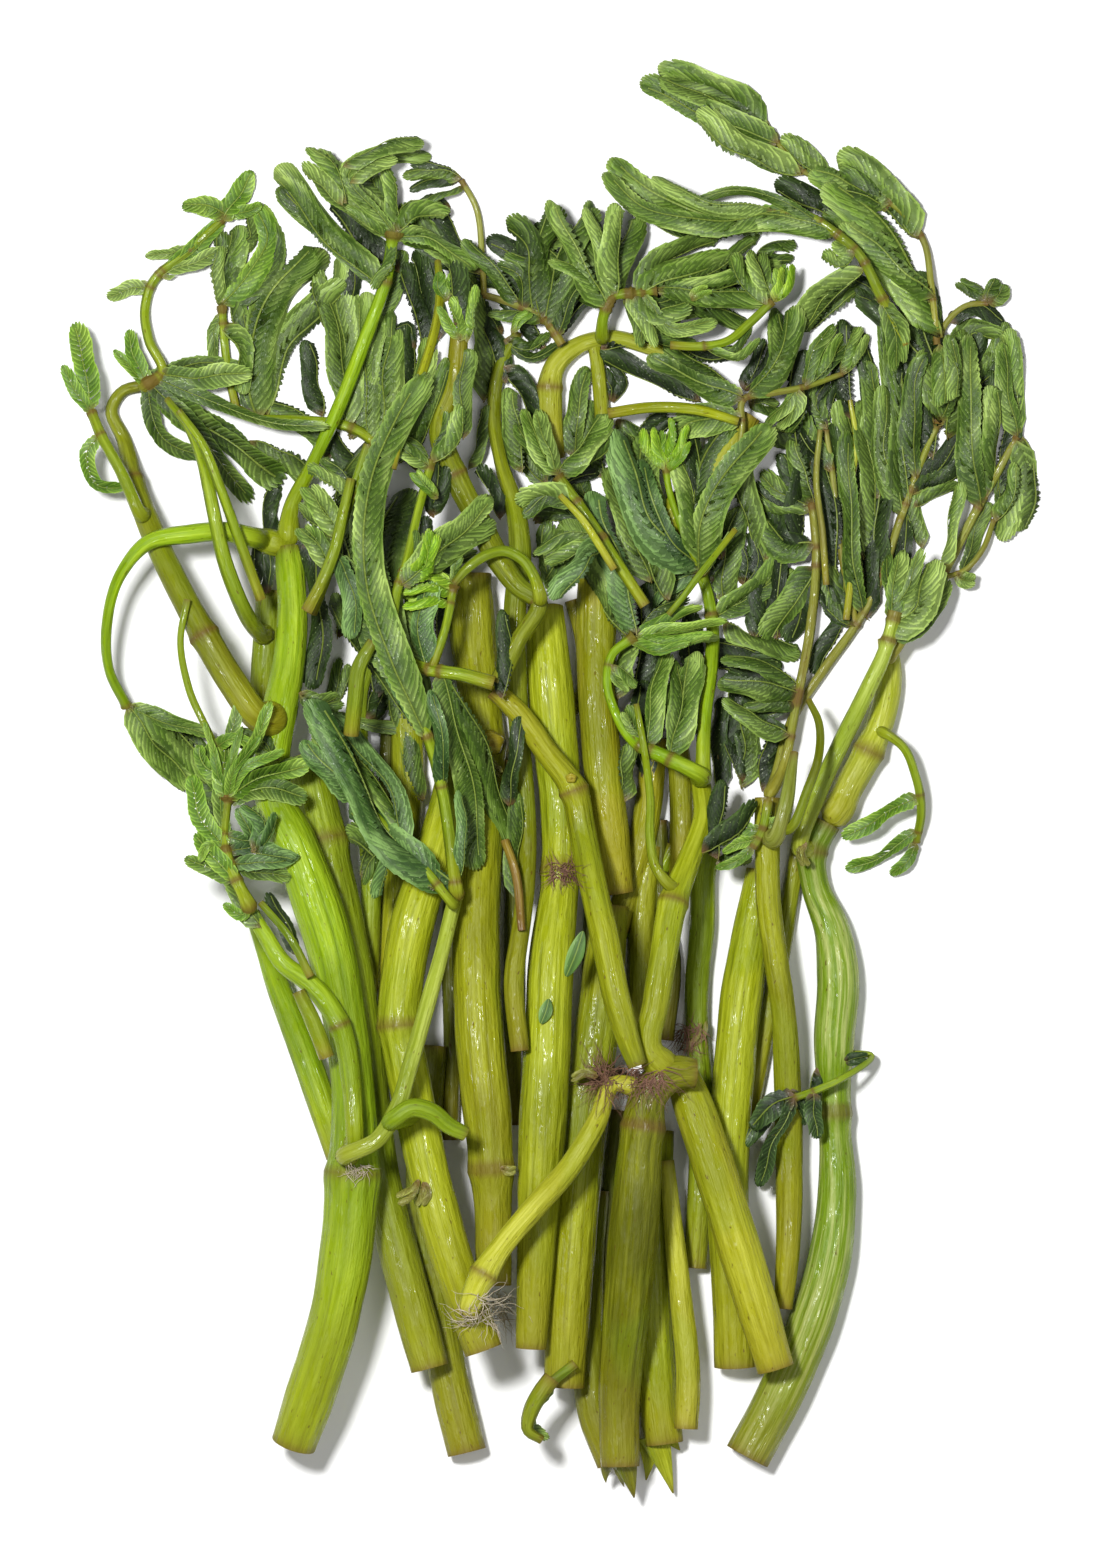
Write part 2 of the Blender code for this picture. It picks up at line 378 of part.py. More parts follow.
class Strip:
    """One tube or blade: rings along a route, each with a half width and a half thickness."""

    def __init__(self, centres, half_widths, half_thicknesses, sides):
        self.centres = np.array(centres, dtype=float)
        self.half_widths = np.array(half_widths, dtype=float)
        self.half_thicknesses = np.array(half_thicknesses, dtype=float)
        self.sides = sides
        self.across = side_vectors(self.centres)
        lengths = np.linalg.norm(np.diff(self.centres, axis=0), axis=1)
        self.stations = np.concatenate([[0.0], np.cumsum(lengths)])
        self.floor = self.half_thicknesses * self.foot_ratio()
        if sides < STEM_SIDES:
            self.floor += SLIM_LIFT_MM
        self.heights = self.floor.copy()

    def foot_ratio(self):
        """How far the lowest facet lies below the middle, as a share of the half thickness."""
        return math.cos(math.pi / self.sides) if self.sides > 4 else 1.0

    def samples(self, margin):
        """Points over the strip grown by a margin: station, share, x, y and rise over its middle."""
        out = []
        last = len(self.centres) - 2
        for index in range(last + 1):
            start_width = self.half_widths[index] + margin
            end_width = self.half_widths[index + 1] + margin
            length = self.stations[index + 1] - self.stations[index]
            low = -margin / length if index == 0 else 0.0
            high = 1.0 + margin / length if index == last else 1.0
            bend = abs(np.cross(self.across[index], self.across[index + 1]))
            reach = length + bend * max(start_width, end_width)
            count = max(3, int(math.ceil(reach * (high - low) / STEP_MM)) + 1)
            wide = max(3, int(math.ceil(2.0 * max(start_width, end_width) / STEP_MM)) + 1)
            share = np.linspace(low, high, count)[:, None]
            offset = np.linspace(-1.0, 1.0, wide)[None, :]
            middle = self.centres[index] + share[:, :, None] * (self.centres[index + 1] - self.centres[index])
            first = self.across[index] * start_width
            second = self.across[index + 1] * end_width
            side = first + share[:, :, None] * (second - first)
            place = middle + side * offset[:, :, None]
            thick = self.half_thicknesses[index]
            thick = thick + share * (self.half_thicknesses[index + 1] - thick) + margin
            rise = thick * np.sqrt(np.clip(1.0 - offset ** 2, 0.0, 1.0))
            out.append((index, share[:, 0], place, rise))
        return out

    def station_of(self, index, share):
        """Distance along the route for shares of one span."""
        clipped = np.clip(share, 0.0, 1.0)
        return self.stations[index] + clipped * (self.stations[index + 1] - self.stations[index])


class HeightMap:
    """How high the heap is over each cell of the floor, in millimetres."""

    def __init__(self):
        self.columns = int(2 * MAP_HALF_X_MM / CELL_MM)
        self.rows = int(2 * MAP_HALF_Y_MM / CELL_MM)
        self.tops = np.zeros((self.rows, self.columns))

    def cells(self, place):
        column = np.floor((place[..., 0] + MAP_HALF_X_MM) / CELL_MM).astype(int)
        row = np.floor((place[..., 1] + MAP_HALF_Y_MM) / CELL_MM).astype(int)
        return np.clip(row, 0, self.rows - 1), np.clip(column, 0, self.columns - 1)

    def stamp(self, strip, margin, from_station=0.0):
        """Add the top of a laid strip to the map."""
        for index, share, place, rise in strip.samples(margin):
            row, column = self.cells(place)
            middle = strip.heights[index] + share * (strip.heights[index + 1] - strip.heights[index])
            tops = middle[:, None] + rise
            keep = strip.station_of(index, share) >= from_station
            np.maximum.at(self.tops, (row[keep], column[keep]), tops[keep])

    def bounds(self, strip, margin):
        """Lowest middle height that clears the heap, for samples along the strip."""
        stations = []
        lows = []
        for index, share, place, rise in strip.samples(margin):
            row, column = self.cells(place)
            under = self.tops[row, column]
            need = np.where(under > 0.0, under + rise, 0.0).max(axis=1)
            stations.append(strip.station_of(index, share))
            lows.append(need)
        return np.concatenate(stations), np.concatenate(lows)


def settle(strip, stations, lows, bend, soft, start=None):
    """Set ring heights: over every bound, never bent more tightly than the bend radius."""
    total = strip.stations[-1]
    step = 0.5
    grid = np.arange(0.0, total + step, step)
    floor_at = np.interp(stations, strip.stations, strip.floor)
    excess = np.maximum(lows - floor_at, 0.0)
    need = np.zeros(len(grid))
    nearest = np.clip(np.round(stations / step).astype(int), 0, len(grid) - 1)
    np.maximum.at(need, nearest, excess)
    if start is not None:
        need[0] = max(need[0], start - strip.floor[0])
    reach = int(math.ceil(soft / step)) + 1
    padded = np.pad(need, reach, mode="edge")
    spread = np.array([padded[k:k + 2 * reach + 1].max() for k in range(len(grid))])
    gaps = grid[:, None] - grid[None, :]
    hump = (spread[None, :] - gaps ** 2 / (2.0 * bend)).max(axis=1)
    hump = np.maximum(hump, 0.0)
    padded = np.pad(hump, reach - 1, mode="edge")
    smooth = np.array([padded[k:k + 2 * reach - 1].mean() for k in range(len(grid))])
    heights = np.interp(strip.stations, grid, smooth)
    if start is not None:
        heights[0] = max(start - strip.floor[0], excess[stations < 0.6].max())
    for _ in range(60):
        worst = excess - np.interp(stations, strip.stations, heights)
        at = int(worst.argmax())
        if worst[at] < 1e-6:
            break
        index = int(np.clip(np.searchsorted(strip.stations, stations[at], side="right") - 1,
                            0, len(heights) - 2))
        share = (stations[at] - strip.stations[index]) / (strip.stations[index + 1] - strip.stations[index])
        weight = (1.0 - share) ** 2 + share ** 2
        heights[index] += worst[at] * (1.0 - share) / weight + 1e-5
        heights[index + 1] += worst[at] * share / weight + 1e-5
    strip.heights = strip.floor + heights


def height_on(strips, point, stations=False):
    """Nearest place on a set of strips: distance, the place and the height (or station) there."""
    best = (1e9, None, 0.0)
    for strip in strips:
        for index in range(len(strip.centres) - 1):
            first = strip.centres[index]
            span = strip.centres[index + 1] - first
            share = float(np.clip(np.dot(point - first, span) / np.dot(span, span), 0.0, 1.0))
            place = first + share * span
            away = float(np.linalg.norm(point - place))
            if away < best[0]:
                values = strip.stations if stations else strip.heights
                value = values[index] + share * (values[index + 1] - values[index])
                best = (away, place, float(value))
    return best


def stem_strip(route):
    """A round tube from route points of picture x, picture y and diameter."""
    centres = [plan(x, y) for x, y, _ in route]
    radii = [size / 2.0 for _, _, size in route]
    sides = STEM_SIDES if max(radii) * 2.0 > SLIM_STEM_MM else SLIM_SIDES
    if max(radii) * 2.0 < STALK_MM:
        sides = 4
    return Strip(centres, radii, radii, sides)


def blade_strip(width, points):
    """A flat spindle through three or four picture points."""
    ends = np.array([plan(x, y) for x, y in points])
    length = float(np.linalg.norm(np.diff(ends, axis=0), axis=1).sum())
    if len(points) == 3:
        places = [0.0, 0.3, 0.68, 1.0] if length > SHORT_BLADE_MM else [0.0, 0.45, 1.0]
        centres = []
        for t in places:
            first = (1.0 - t) * (1.0 - 2.0 * t)
            middle = 4.0 * t * (1.0 - t)
            last = t * (2.0 * t - 1.0)
            centres.append(first * ends[0] + middle * ends[1] + last * ends[2])
    else:
        centres = list(ends)
    if len(centres) == 3:
        shape = [BLADE_BASE_RATIO, 1.0, BLADE_TIP_RATIO]
    else:
        shape = [BLADE_BASE_RATIO, 1.0, BLADE_SHOULDER_RATIO, BLADE_TIP_RATIO]
        shape = shape[:2] + [BLADE_SHOULDER_RATIO] * (len(centres) - 4) + shape[2:]
    thickness = min(max(width * BLADE_THICKNESS_RATIO, BLADE_THICKNESS_MIN_MM), BLADE_THICKNESS_MAX_MM)
    widths = [width * share / 2.0 for share in shape]
    thicks = [thickness * (0.35 + 0.65 * share) / 2.0 for share in shape]
    return Strip(centres, widths, thicks, 4)


def snapped(strip, others, name):
    """The same strip, starting exactly on the nearest of the others."""
    away, place, _ = height_on(others, strip.centres[0])
    if away > JOIN_REACH_MM:
        raise ValueError(f"{name}: a piece starts {away:.1f} mm off its stalk")
    centres = np.vstack([place, strip.centres[1:]])
    return Strip(centres, strip.half_widths, strip.half_thicknesses, strip.sides)


def lay_leaf(name, leaf, heap, start):
    """Lay one leaf: its stalks first, then each folded blade from its place on a stalk.

    Where a blade has to start higher than its stalk, the stalk is raised and the leaf laid again.
    """
    stalks = []
    for route in leaf["stalks"]:
        strip = stem_strip(route)
        stalks.append(snapped(strip, stalks, name) if stalks else strip)
    blades = [snapped(blade_strip(entry[0], entry[1:]), stalks, name) for entry in leaf["blades"]]
    under = [heap.bounds(strip, UNDER_MARGIN_MM) for strip in stalks + blades]
    raised = []
    for _ in range(LAYING_ROUNDS):
        for order, strip in enumerate(stalks):
            stations, lows = under[order]
            for place, height in raised:
                away, _, at = height_on([strip], place, stations=True)
                if away < 0.01:
                    stations = np.append(stations, at)
                    lows = np.append(lows, height)
            begin = start
            if order > 0:
                begin = height_on(stalks[:order], strip.centres[0])[2] + STACK_STEP_MM
            settle(strip, stations, lows, STALK_BEND_MM, LEAF_SOFT_MM, begin)
        own = HeightMap()
        meets = [(strip, height_on(stalks[:k + 1], strip.centres[0])[2])
                 for k, strip in enumerate(stalks[1:])]
        for order, blade in enumerate(blades):
            height = height_on(stalks, blade.centres[0])[2] + STACK_STEP_MM * (1 + order % 4)
            stations, lows = under[len(stalks) + order]
            own_stations, own_lows = own.bounds(blade, OWN_MARGIN_MM)
            ceiling = height + np.clip(own_stations - FREE_BASE_MM, 0.0, None) * 0.45
            own_lows = np.where(own_stations < FREE_BASE_MM, 0.0, np.minimum(own_lows, ceiling))
            settle(blade, np.append(stations, own_stations), np.append(lows, own_lows),
                   BLADE_BEND_MM, LEAF_SOFT_MM, height)
            own.stamp(blade, OWN_MARGIN_MM, FREE_BASE_MM)
            meets.append((blade, height))
        short = [(strip, height) for strip, height in meets if strip.heights[0] - height > BASE_DROP_MM]
        if not short:
            break
        raised += [(strip.centres[0], strip.heights[0]) for strip, _ in short]
    for strip in stalks + blades:
        heap.stamp(strip, TOP_MARGIN_MM)
    return stalks, blades


def lay_everything():
    """Lay stems in order, then the leaves over them. Returns strips by piece name."""
    heap = HeightMap()
    placed = {}
    for name, route in STEMS.items():
        strip = stem_strip(route)
        thick = max(strip.half_widths) * 2.0 > BENDY_STEM_MM
        start = None
        if name in GROWS_FROM:
            start = height_on(placed[GROWS_FROM[name]], strip.centres[0])[2]
        stations, lows = heap.bounds(strip, UNDER_MARGIN_MM)
        settle(strip, stations, lows, STEM_BEND_MM if thick else SLIM_BEND_MM, STEM_SOFT_MM, start)
        heap.stamp(strip, TOP_MARGIN_MM)
        placed[name] = [strip]
    for name, leaf in LEAVES.items():
        start = None
        if name in GROWS_FROM:
            first = plan(*leaf["stalks"][0][0][:2])
            start = height_on(placed[GROWS_FROM[name]], first)[2]
        stalks, blades = lay_leaf(name, leaf, heap, start)
        placed[name] = stalks + blades
    return placed


def tube_object(name, strip, collection, profiles):
    """Build one strip as a curve, turn it into a closed mesh and return the object."""
    curve = bpy.data.curves.new(name, "CURVE")
    curve.dimensions = "3D"
    curve.twist_mode = "Z_UP"
    curve.use_fill_caps = True
    spline = curve.splines.new("POLY")
    spline.points.add(len(strip.centres) - 1)
    flat = strip.half_thicknesses.max() < 0.9 * strip.half_widths.max()
    if flat:
        curve.bevel_mode = "OBJECT"
        curve.bevel_object = profiles(strip.half_thicknesses.max() / strip.half_widths.max(), collection)
    else:
        curve.bevel_depth = MM
        curve.bevel_resolution = strip.sides // 2 - 2
    for index, point in enumerate(spline.points):
        x, y = strip.centres[index] * MM
        point.co = (x, y, strip.heights[index] * MM, 1.0)
        point.radius = strip.half_widths[index]
        point.tilt = math.pi / strip.sides if strip.sides == STEM_SIDES else 0.0
    holder = bpy.data.objects.new(name, curve)
    collection.objects.link(holder)
    bpy.context.view_layer.update()
    graph = bpy.context.evaluated_depsgraph_get()
    mesh = bpy.data.meshes.new_from_object(holder.evaluated_get(graph))
    bpy.data.objects.remove(holder)
    work = bmesh.new()
    work.from_mesh(mesh)
    bmesh.ops.remove_doubles(work, verts=work.verts, dist=1e-6)
    bmesh.ops.recalc_face_normals(work, faces=work.faces)
    work.to_mesh(mesh)
    work.free()
    result = bpy.data.objects.new(name, mesh)
    collection.objects.link(result)
    return result


PROFILE_CACHE = {}


def flat_profile(ratio, collection):
    """A diamond outline one millimetre in half width, for the folded blades."""
    key = round(ratio, 2)
    if key in PROFILE_CACHE:
        return PROFILE_CACHE[key]
    curve = bpy.data.curves.new("cutter_profile", "CURVE")
    curve.dimensions = "2D"
    spline = curve.splines.new("POLY")
    spline.points.add(3)
    corners = [(MM, 0.0), (0.0, key * MM), (-MM, 0.0), (0.0, -key * MM)]
    for point, (x, y) in zip(spline.points, corners):
        point.co = (x, y, 0.0, 1.0)
    spline.use_cyclic_u = True
    holder = bpy.data.objects.new("cutter_profile", curve)
    cutters.objects.link(holder)
    holder.hide_render = True
    holder.display_type = "WIRE"
    PROFILE_CACHE[key] = holder
    return holder


def join_objects(base, others):
    """Fuse the others into the base with Boolean unions and remove them."""
    for other in others:
        union = base.modifiers.new("union", "BOOLEAN")
        union.operation = "UNION"
        union.solver = "EXACT"
        union.use_self = True
        union.object = other
        bpy.context.view_layer.update()
        graph = bpy.context.evaluated_depsgraph_get()
        mesh = bpy.data.meshes.new_from_object(base.evaluated_get(graph))
        base.modifiers.clear()
        base.data = mesh
        bpy.data.objects.remove(other)


def give_material(item, colour, roughness):
    material = bpy.data.materials.new("mat_" + item.name)
    material.use_nodes = True
    shader = material.node_tree.nodes["Principled BSDF"]
    shader.inputs["Base Color"].default_value = colour
    shader.inputs["Roughness"].default_value = roughness
    item.data.materials.clear()
    item.data.materials.append(material)


# Clear the scene
for item in list(bpy.data.objects):
    bpy.data.objects.remove(item)

plants = bpy.data.collections.new("water_mimosa")
bpy.context.scene.collection.children.link(plants)
cutters = bpy.data.collections.new("cutters")
bpy.context.scene.collection.children.link(cutters)

# Lay and build every piece
laid_pieces = lay_everything()
for piece_name, strips in laid_pieces.items():
    parts = [tube_object(f"{piece_name}_{k}", strip, plants, flat_profile) for k, strip in enumerate(strips)]
    join_objects(parts[0], parts[1:])
    parts[0].name = piece_name
    parts[0].data.name = piece_name
    if piece_name.startswith("leaf"):
        give_material(parts[0], LEAF_COLOUR, 0.6)
    elif piece_name.startswith("branch"):
        give_material(parts[0], BRANCH_COLOUR, 0.4)
    else:
        give_material(parts[0], STEM_COLOUR, 0.35)
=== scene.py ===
"""Looks of one bunch of water mimosa lying flat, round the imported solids.

Run with blender --background --python scene.py, or from the text editor. The routes of stems and
leaves are the ones the solids were laid by, so each piece comes out in the place of its solid.
"""
import math

import bmesh
import bpy
import numpy as np
from mathutils import Matrix


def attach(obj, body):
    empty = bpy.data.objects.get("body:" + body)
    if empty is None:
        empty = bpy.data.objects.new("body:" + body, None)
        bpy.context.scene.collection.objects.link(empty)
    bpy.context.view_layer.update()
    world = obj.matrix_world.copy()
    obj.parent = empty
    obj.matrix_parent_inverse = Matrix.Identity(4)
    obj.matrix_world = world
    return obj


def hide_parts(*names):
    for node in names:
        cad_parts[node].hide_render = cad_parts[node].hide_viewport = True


bl_info = {
    "name": "Water Mimosa Bunch",
    "version": (1, 0, 0),
    "blender": (4, 5, 0),
    "location": "3D View > Sidebar > Water Mimosa",
    "description": "Cut stems, branches, folded leaves and root tufts of a bunch of water mimosa",
    "category": "Add Mesh",
}

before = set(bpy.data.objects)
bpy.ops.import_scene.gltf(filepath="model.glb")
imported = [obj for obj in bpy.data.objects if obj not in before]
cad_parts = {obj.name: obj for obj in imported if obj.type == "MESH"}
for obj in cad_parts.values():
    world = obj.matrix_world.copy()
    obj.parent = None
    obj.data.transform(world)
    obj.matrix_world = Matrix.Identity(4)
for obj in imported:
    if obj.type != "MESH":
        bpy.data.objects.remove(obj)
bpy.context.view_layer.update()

MM = 0.001

# Size
PIXEL_MM = 0.2
PLAN_CENTRE_X = 548.7423
PLAN_CENTRE_Y = 780.9587
PICTURE_WIDE = 1100
PICTURE_HIGH = 1560

# Sections and laying, as the solids have them
STEM_SIDES = 8
SLIM_SIDES = 6
SLIM_STEM_MM = 7.7
BENDY_STEM_MM = 5.9
STALK_MM = 2.9
SLIM_LIFT_MM = 0.02
BLADE_THICKNESS_RATIO = 0.42
BLADE_THICKNESS_MIN_MM = 1.3
BLADE_THICKNESS_MAX_MM = 2.0
BLADE_BASE_RATIO = 0.34
BLADE_SHOULDER_RATIO = 0.8
BLADE_TIP_RATIO = 0.34
SHORT_BLADE_MM = 23.0
CELL_MM = 0.5
STEP_MM = 0.34
TOP_MARGIN_MM = 0.4
UNDER_MARGIN_MM = 0.38
OWN_MARGIN_MM = 0.12
STEM_BEND_MM = 170.0
SLIM_BEND_MM = 75.0
STALK_BEND_MM = 45.0
BLADE_BEND_MM = 26.0
STEM_SOFT_MM = 4.0
LEAF_SOFT_MM = 1.5
MAP_HALF_X_MM = 125.0
MAP_HALF_Y_MM = 165.0
JOIN_REACH_MM = 4.2
FREE_BASE_MM = 5.0
BASE_DROP_MM = 0.35
LAYING_ROUNDS = 5
STACK_STEP_MM = 0.09
# Settling: spacing of the heights worked out, reach of the start, most rounds of lifting, the depth that
# counts as none, and how far past a bound each ring is lifted
SETTLE_STEP_MM = 0.5
START_REACH_MM = 0.6
SETTLE_ROUNDS = 60
SETTLE_NEAR_MM = 1e-6
SETTLE_PAST_MM = 1e-5

# Tubes: stations along the course, facets round it, swollen nodes and their scars as shares of the girth
STATION_MM = 1.1
STALK_STATION_MM = 0.8
LEAF_STALK_STATION_MM = 0.6
STEM_FACETS = 20
STALK_FACETS = 10
NODE_SWELL = 0.11
NODE_LENGTH = 0.6
NODE_GIRTH_MM = 2.6
SCAR_SWELL = 0.05
SCAR_LENGTH = 0.17
SCAR_EDGE_MM = 0.3
NODE_REACH_MM = 1.2
# The start of a branch: its flare, and how it narrows into the piece it grows from
BASE_FLARE = 0.3
BASE_FLARE_MM = 3.0
BASE_NARROW = 0.45
BASE_WIDENS = 0.35
LEAD_REACH_MM = 12.0
# Uneven thickness: share, length in millimetres and shift of each wave
TUBE_WAVES = ((0.015, 7.0, 9.0), (0.01, 2.3, 5.0))
SLIM_STALK = 0.7
# Cut ends: their pith, and how far and how strongly they are browned
PITH_INSET = 0.2
PITH_DEPTH_MM = 0.9
PITH_FACE = 0.9
BROWN_END_MM = 1.1
BROWN_END = 0.8
SMOOTH_TUBE = math.radians(50.0)
# Splinters of a torn end: facets, rings, flatness, and the height of each over the stem's middle
SPLINTER_FACETS = 10
SPLINTER_CUTS = 10
SPLINTER_POINT = 0.05
SPLINTER_FLAT = 0.22
SPLINTER_RISES_MM = (1.6, -0.8, 0.4, -1.6)
SPLINTER_FALL = (1.0, 0.8, 0.55)

# Pinnae: how leaflets stand, as lean in degrees, greatest reach as a share of the pinna, spacing in
# millimetres, rib offset and half width of a leaflet, tilt in degrees and arch
PINNA_STYLES = {
    "folded": (17.0, 0.4, 1.3, 0.85, 0.85, 5.5, 0.5),
    "half": (24.0, 0.36, 1.2, 0.45, 0.75, 7.5, 0.35),
    "feather": (36.0, 0.3, 1.3, 0.1, 0.7, 14.0, 0.12),
}
TYPICAL_HALF_MM = 2.3
# Stops along a pinna, and its half width at them, on the side that the leaflets lean to and the other
OUTLINE_STOPS = (0.0, 0.06, 0.2, 0.4, 0.7, 1.0)
FULL_OUTLINE = (0.32, 0.62, 0.95, 1.0, 1.0, 0.92)
SLENDER_OUTLINE = (0.32, 0.58, 0.9, 1.0, 0.88, 0.62)
TIP_ROUND = 1.25
RIB_END = 0.93
RIB_HALF_MM = 0.18
UNDER_ROW_DROP_MM = 0.22
LEAFLET_CUTS = 2
LEAFLET_THICK_MM = 0.05
# Least width of a leaflet, as a share, over its base half and at its tip
LEAFLET_BASE = 0.85
LEAFLET_TIP = 0.06
LEAFLET_BOW = 0.25
LEAFLET_FILL = 0.9
RIB_STEP_MM = 1.6
RIB_FACETS = 5
RIB_START = -2.0
RANK_STEP = 2.0
RIB_STRAND = 700.0
SMOOTH_PINNA = math.radians(80.0)
# Place across a leaflet that gets neither the painted highlight at its edge nor its painted shade
PLAIN_STRAND = 40.8
# Pinna lengths that get a shape of their own, in millimetres
PINNA_CLASSES = (13.0, 22.0, 34.0, 54.0)
CLASS_SHARE = 0.82
HALF_OPEN_SHARE = 0.25
# Sway and lift of a pinna off its course
SWAY_SHARE = 0.02
SWAY_MAX_MM = 0.7
LIFT_MM = 0.3
FLOOR_LIFT_MM = 0.35
# A pinna shorter than this many widths becomes two narrow ones
SLIM_RATIO = 3.1
TWIN_SHARE = 0.62
TWIN_APART = 0.46
TWIN_SHORTER = 0.16
TWIN_STEP_MM = 0.15

# Pieces past the solids' budget: how deep low ones sink, and where companions leave their stalk
BACK_SINK_MM = 0.9
TOP_SINK_MM = 0.5
UPPER_SINK_MM = 0.2
UPPER_FREE_MM = 3.0
BACK_BASE_MM = 1.2
BACK_BASE_MIN_MM = 0.3
COMPANIONS = (0.22,)
COMPANION_SHARE = 0.9
COMPANION_MIN_MM = 7.0
EXTRA_MARGIN_MM = 0.1

# Root hairs
HAIR_POINTS = 6
HAIR_LIFT_MM = 0.25
HAIR_ARCH_MM = 0.9
HAIR_DROP_MM = 2.0
HAIR_FOLLOWS = 0.55
HAIR_CURL = 0.3

# Studio
CAMERA_FAR_M = 6.0
SENSOR_MM = 36.0
FLOOR_SIZE_M = 6.0
FLOOR_DROP_M = 0.0002
FLOOR_GAP_MM = 0.05
FILL_SHARE = 0.22

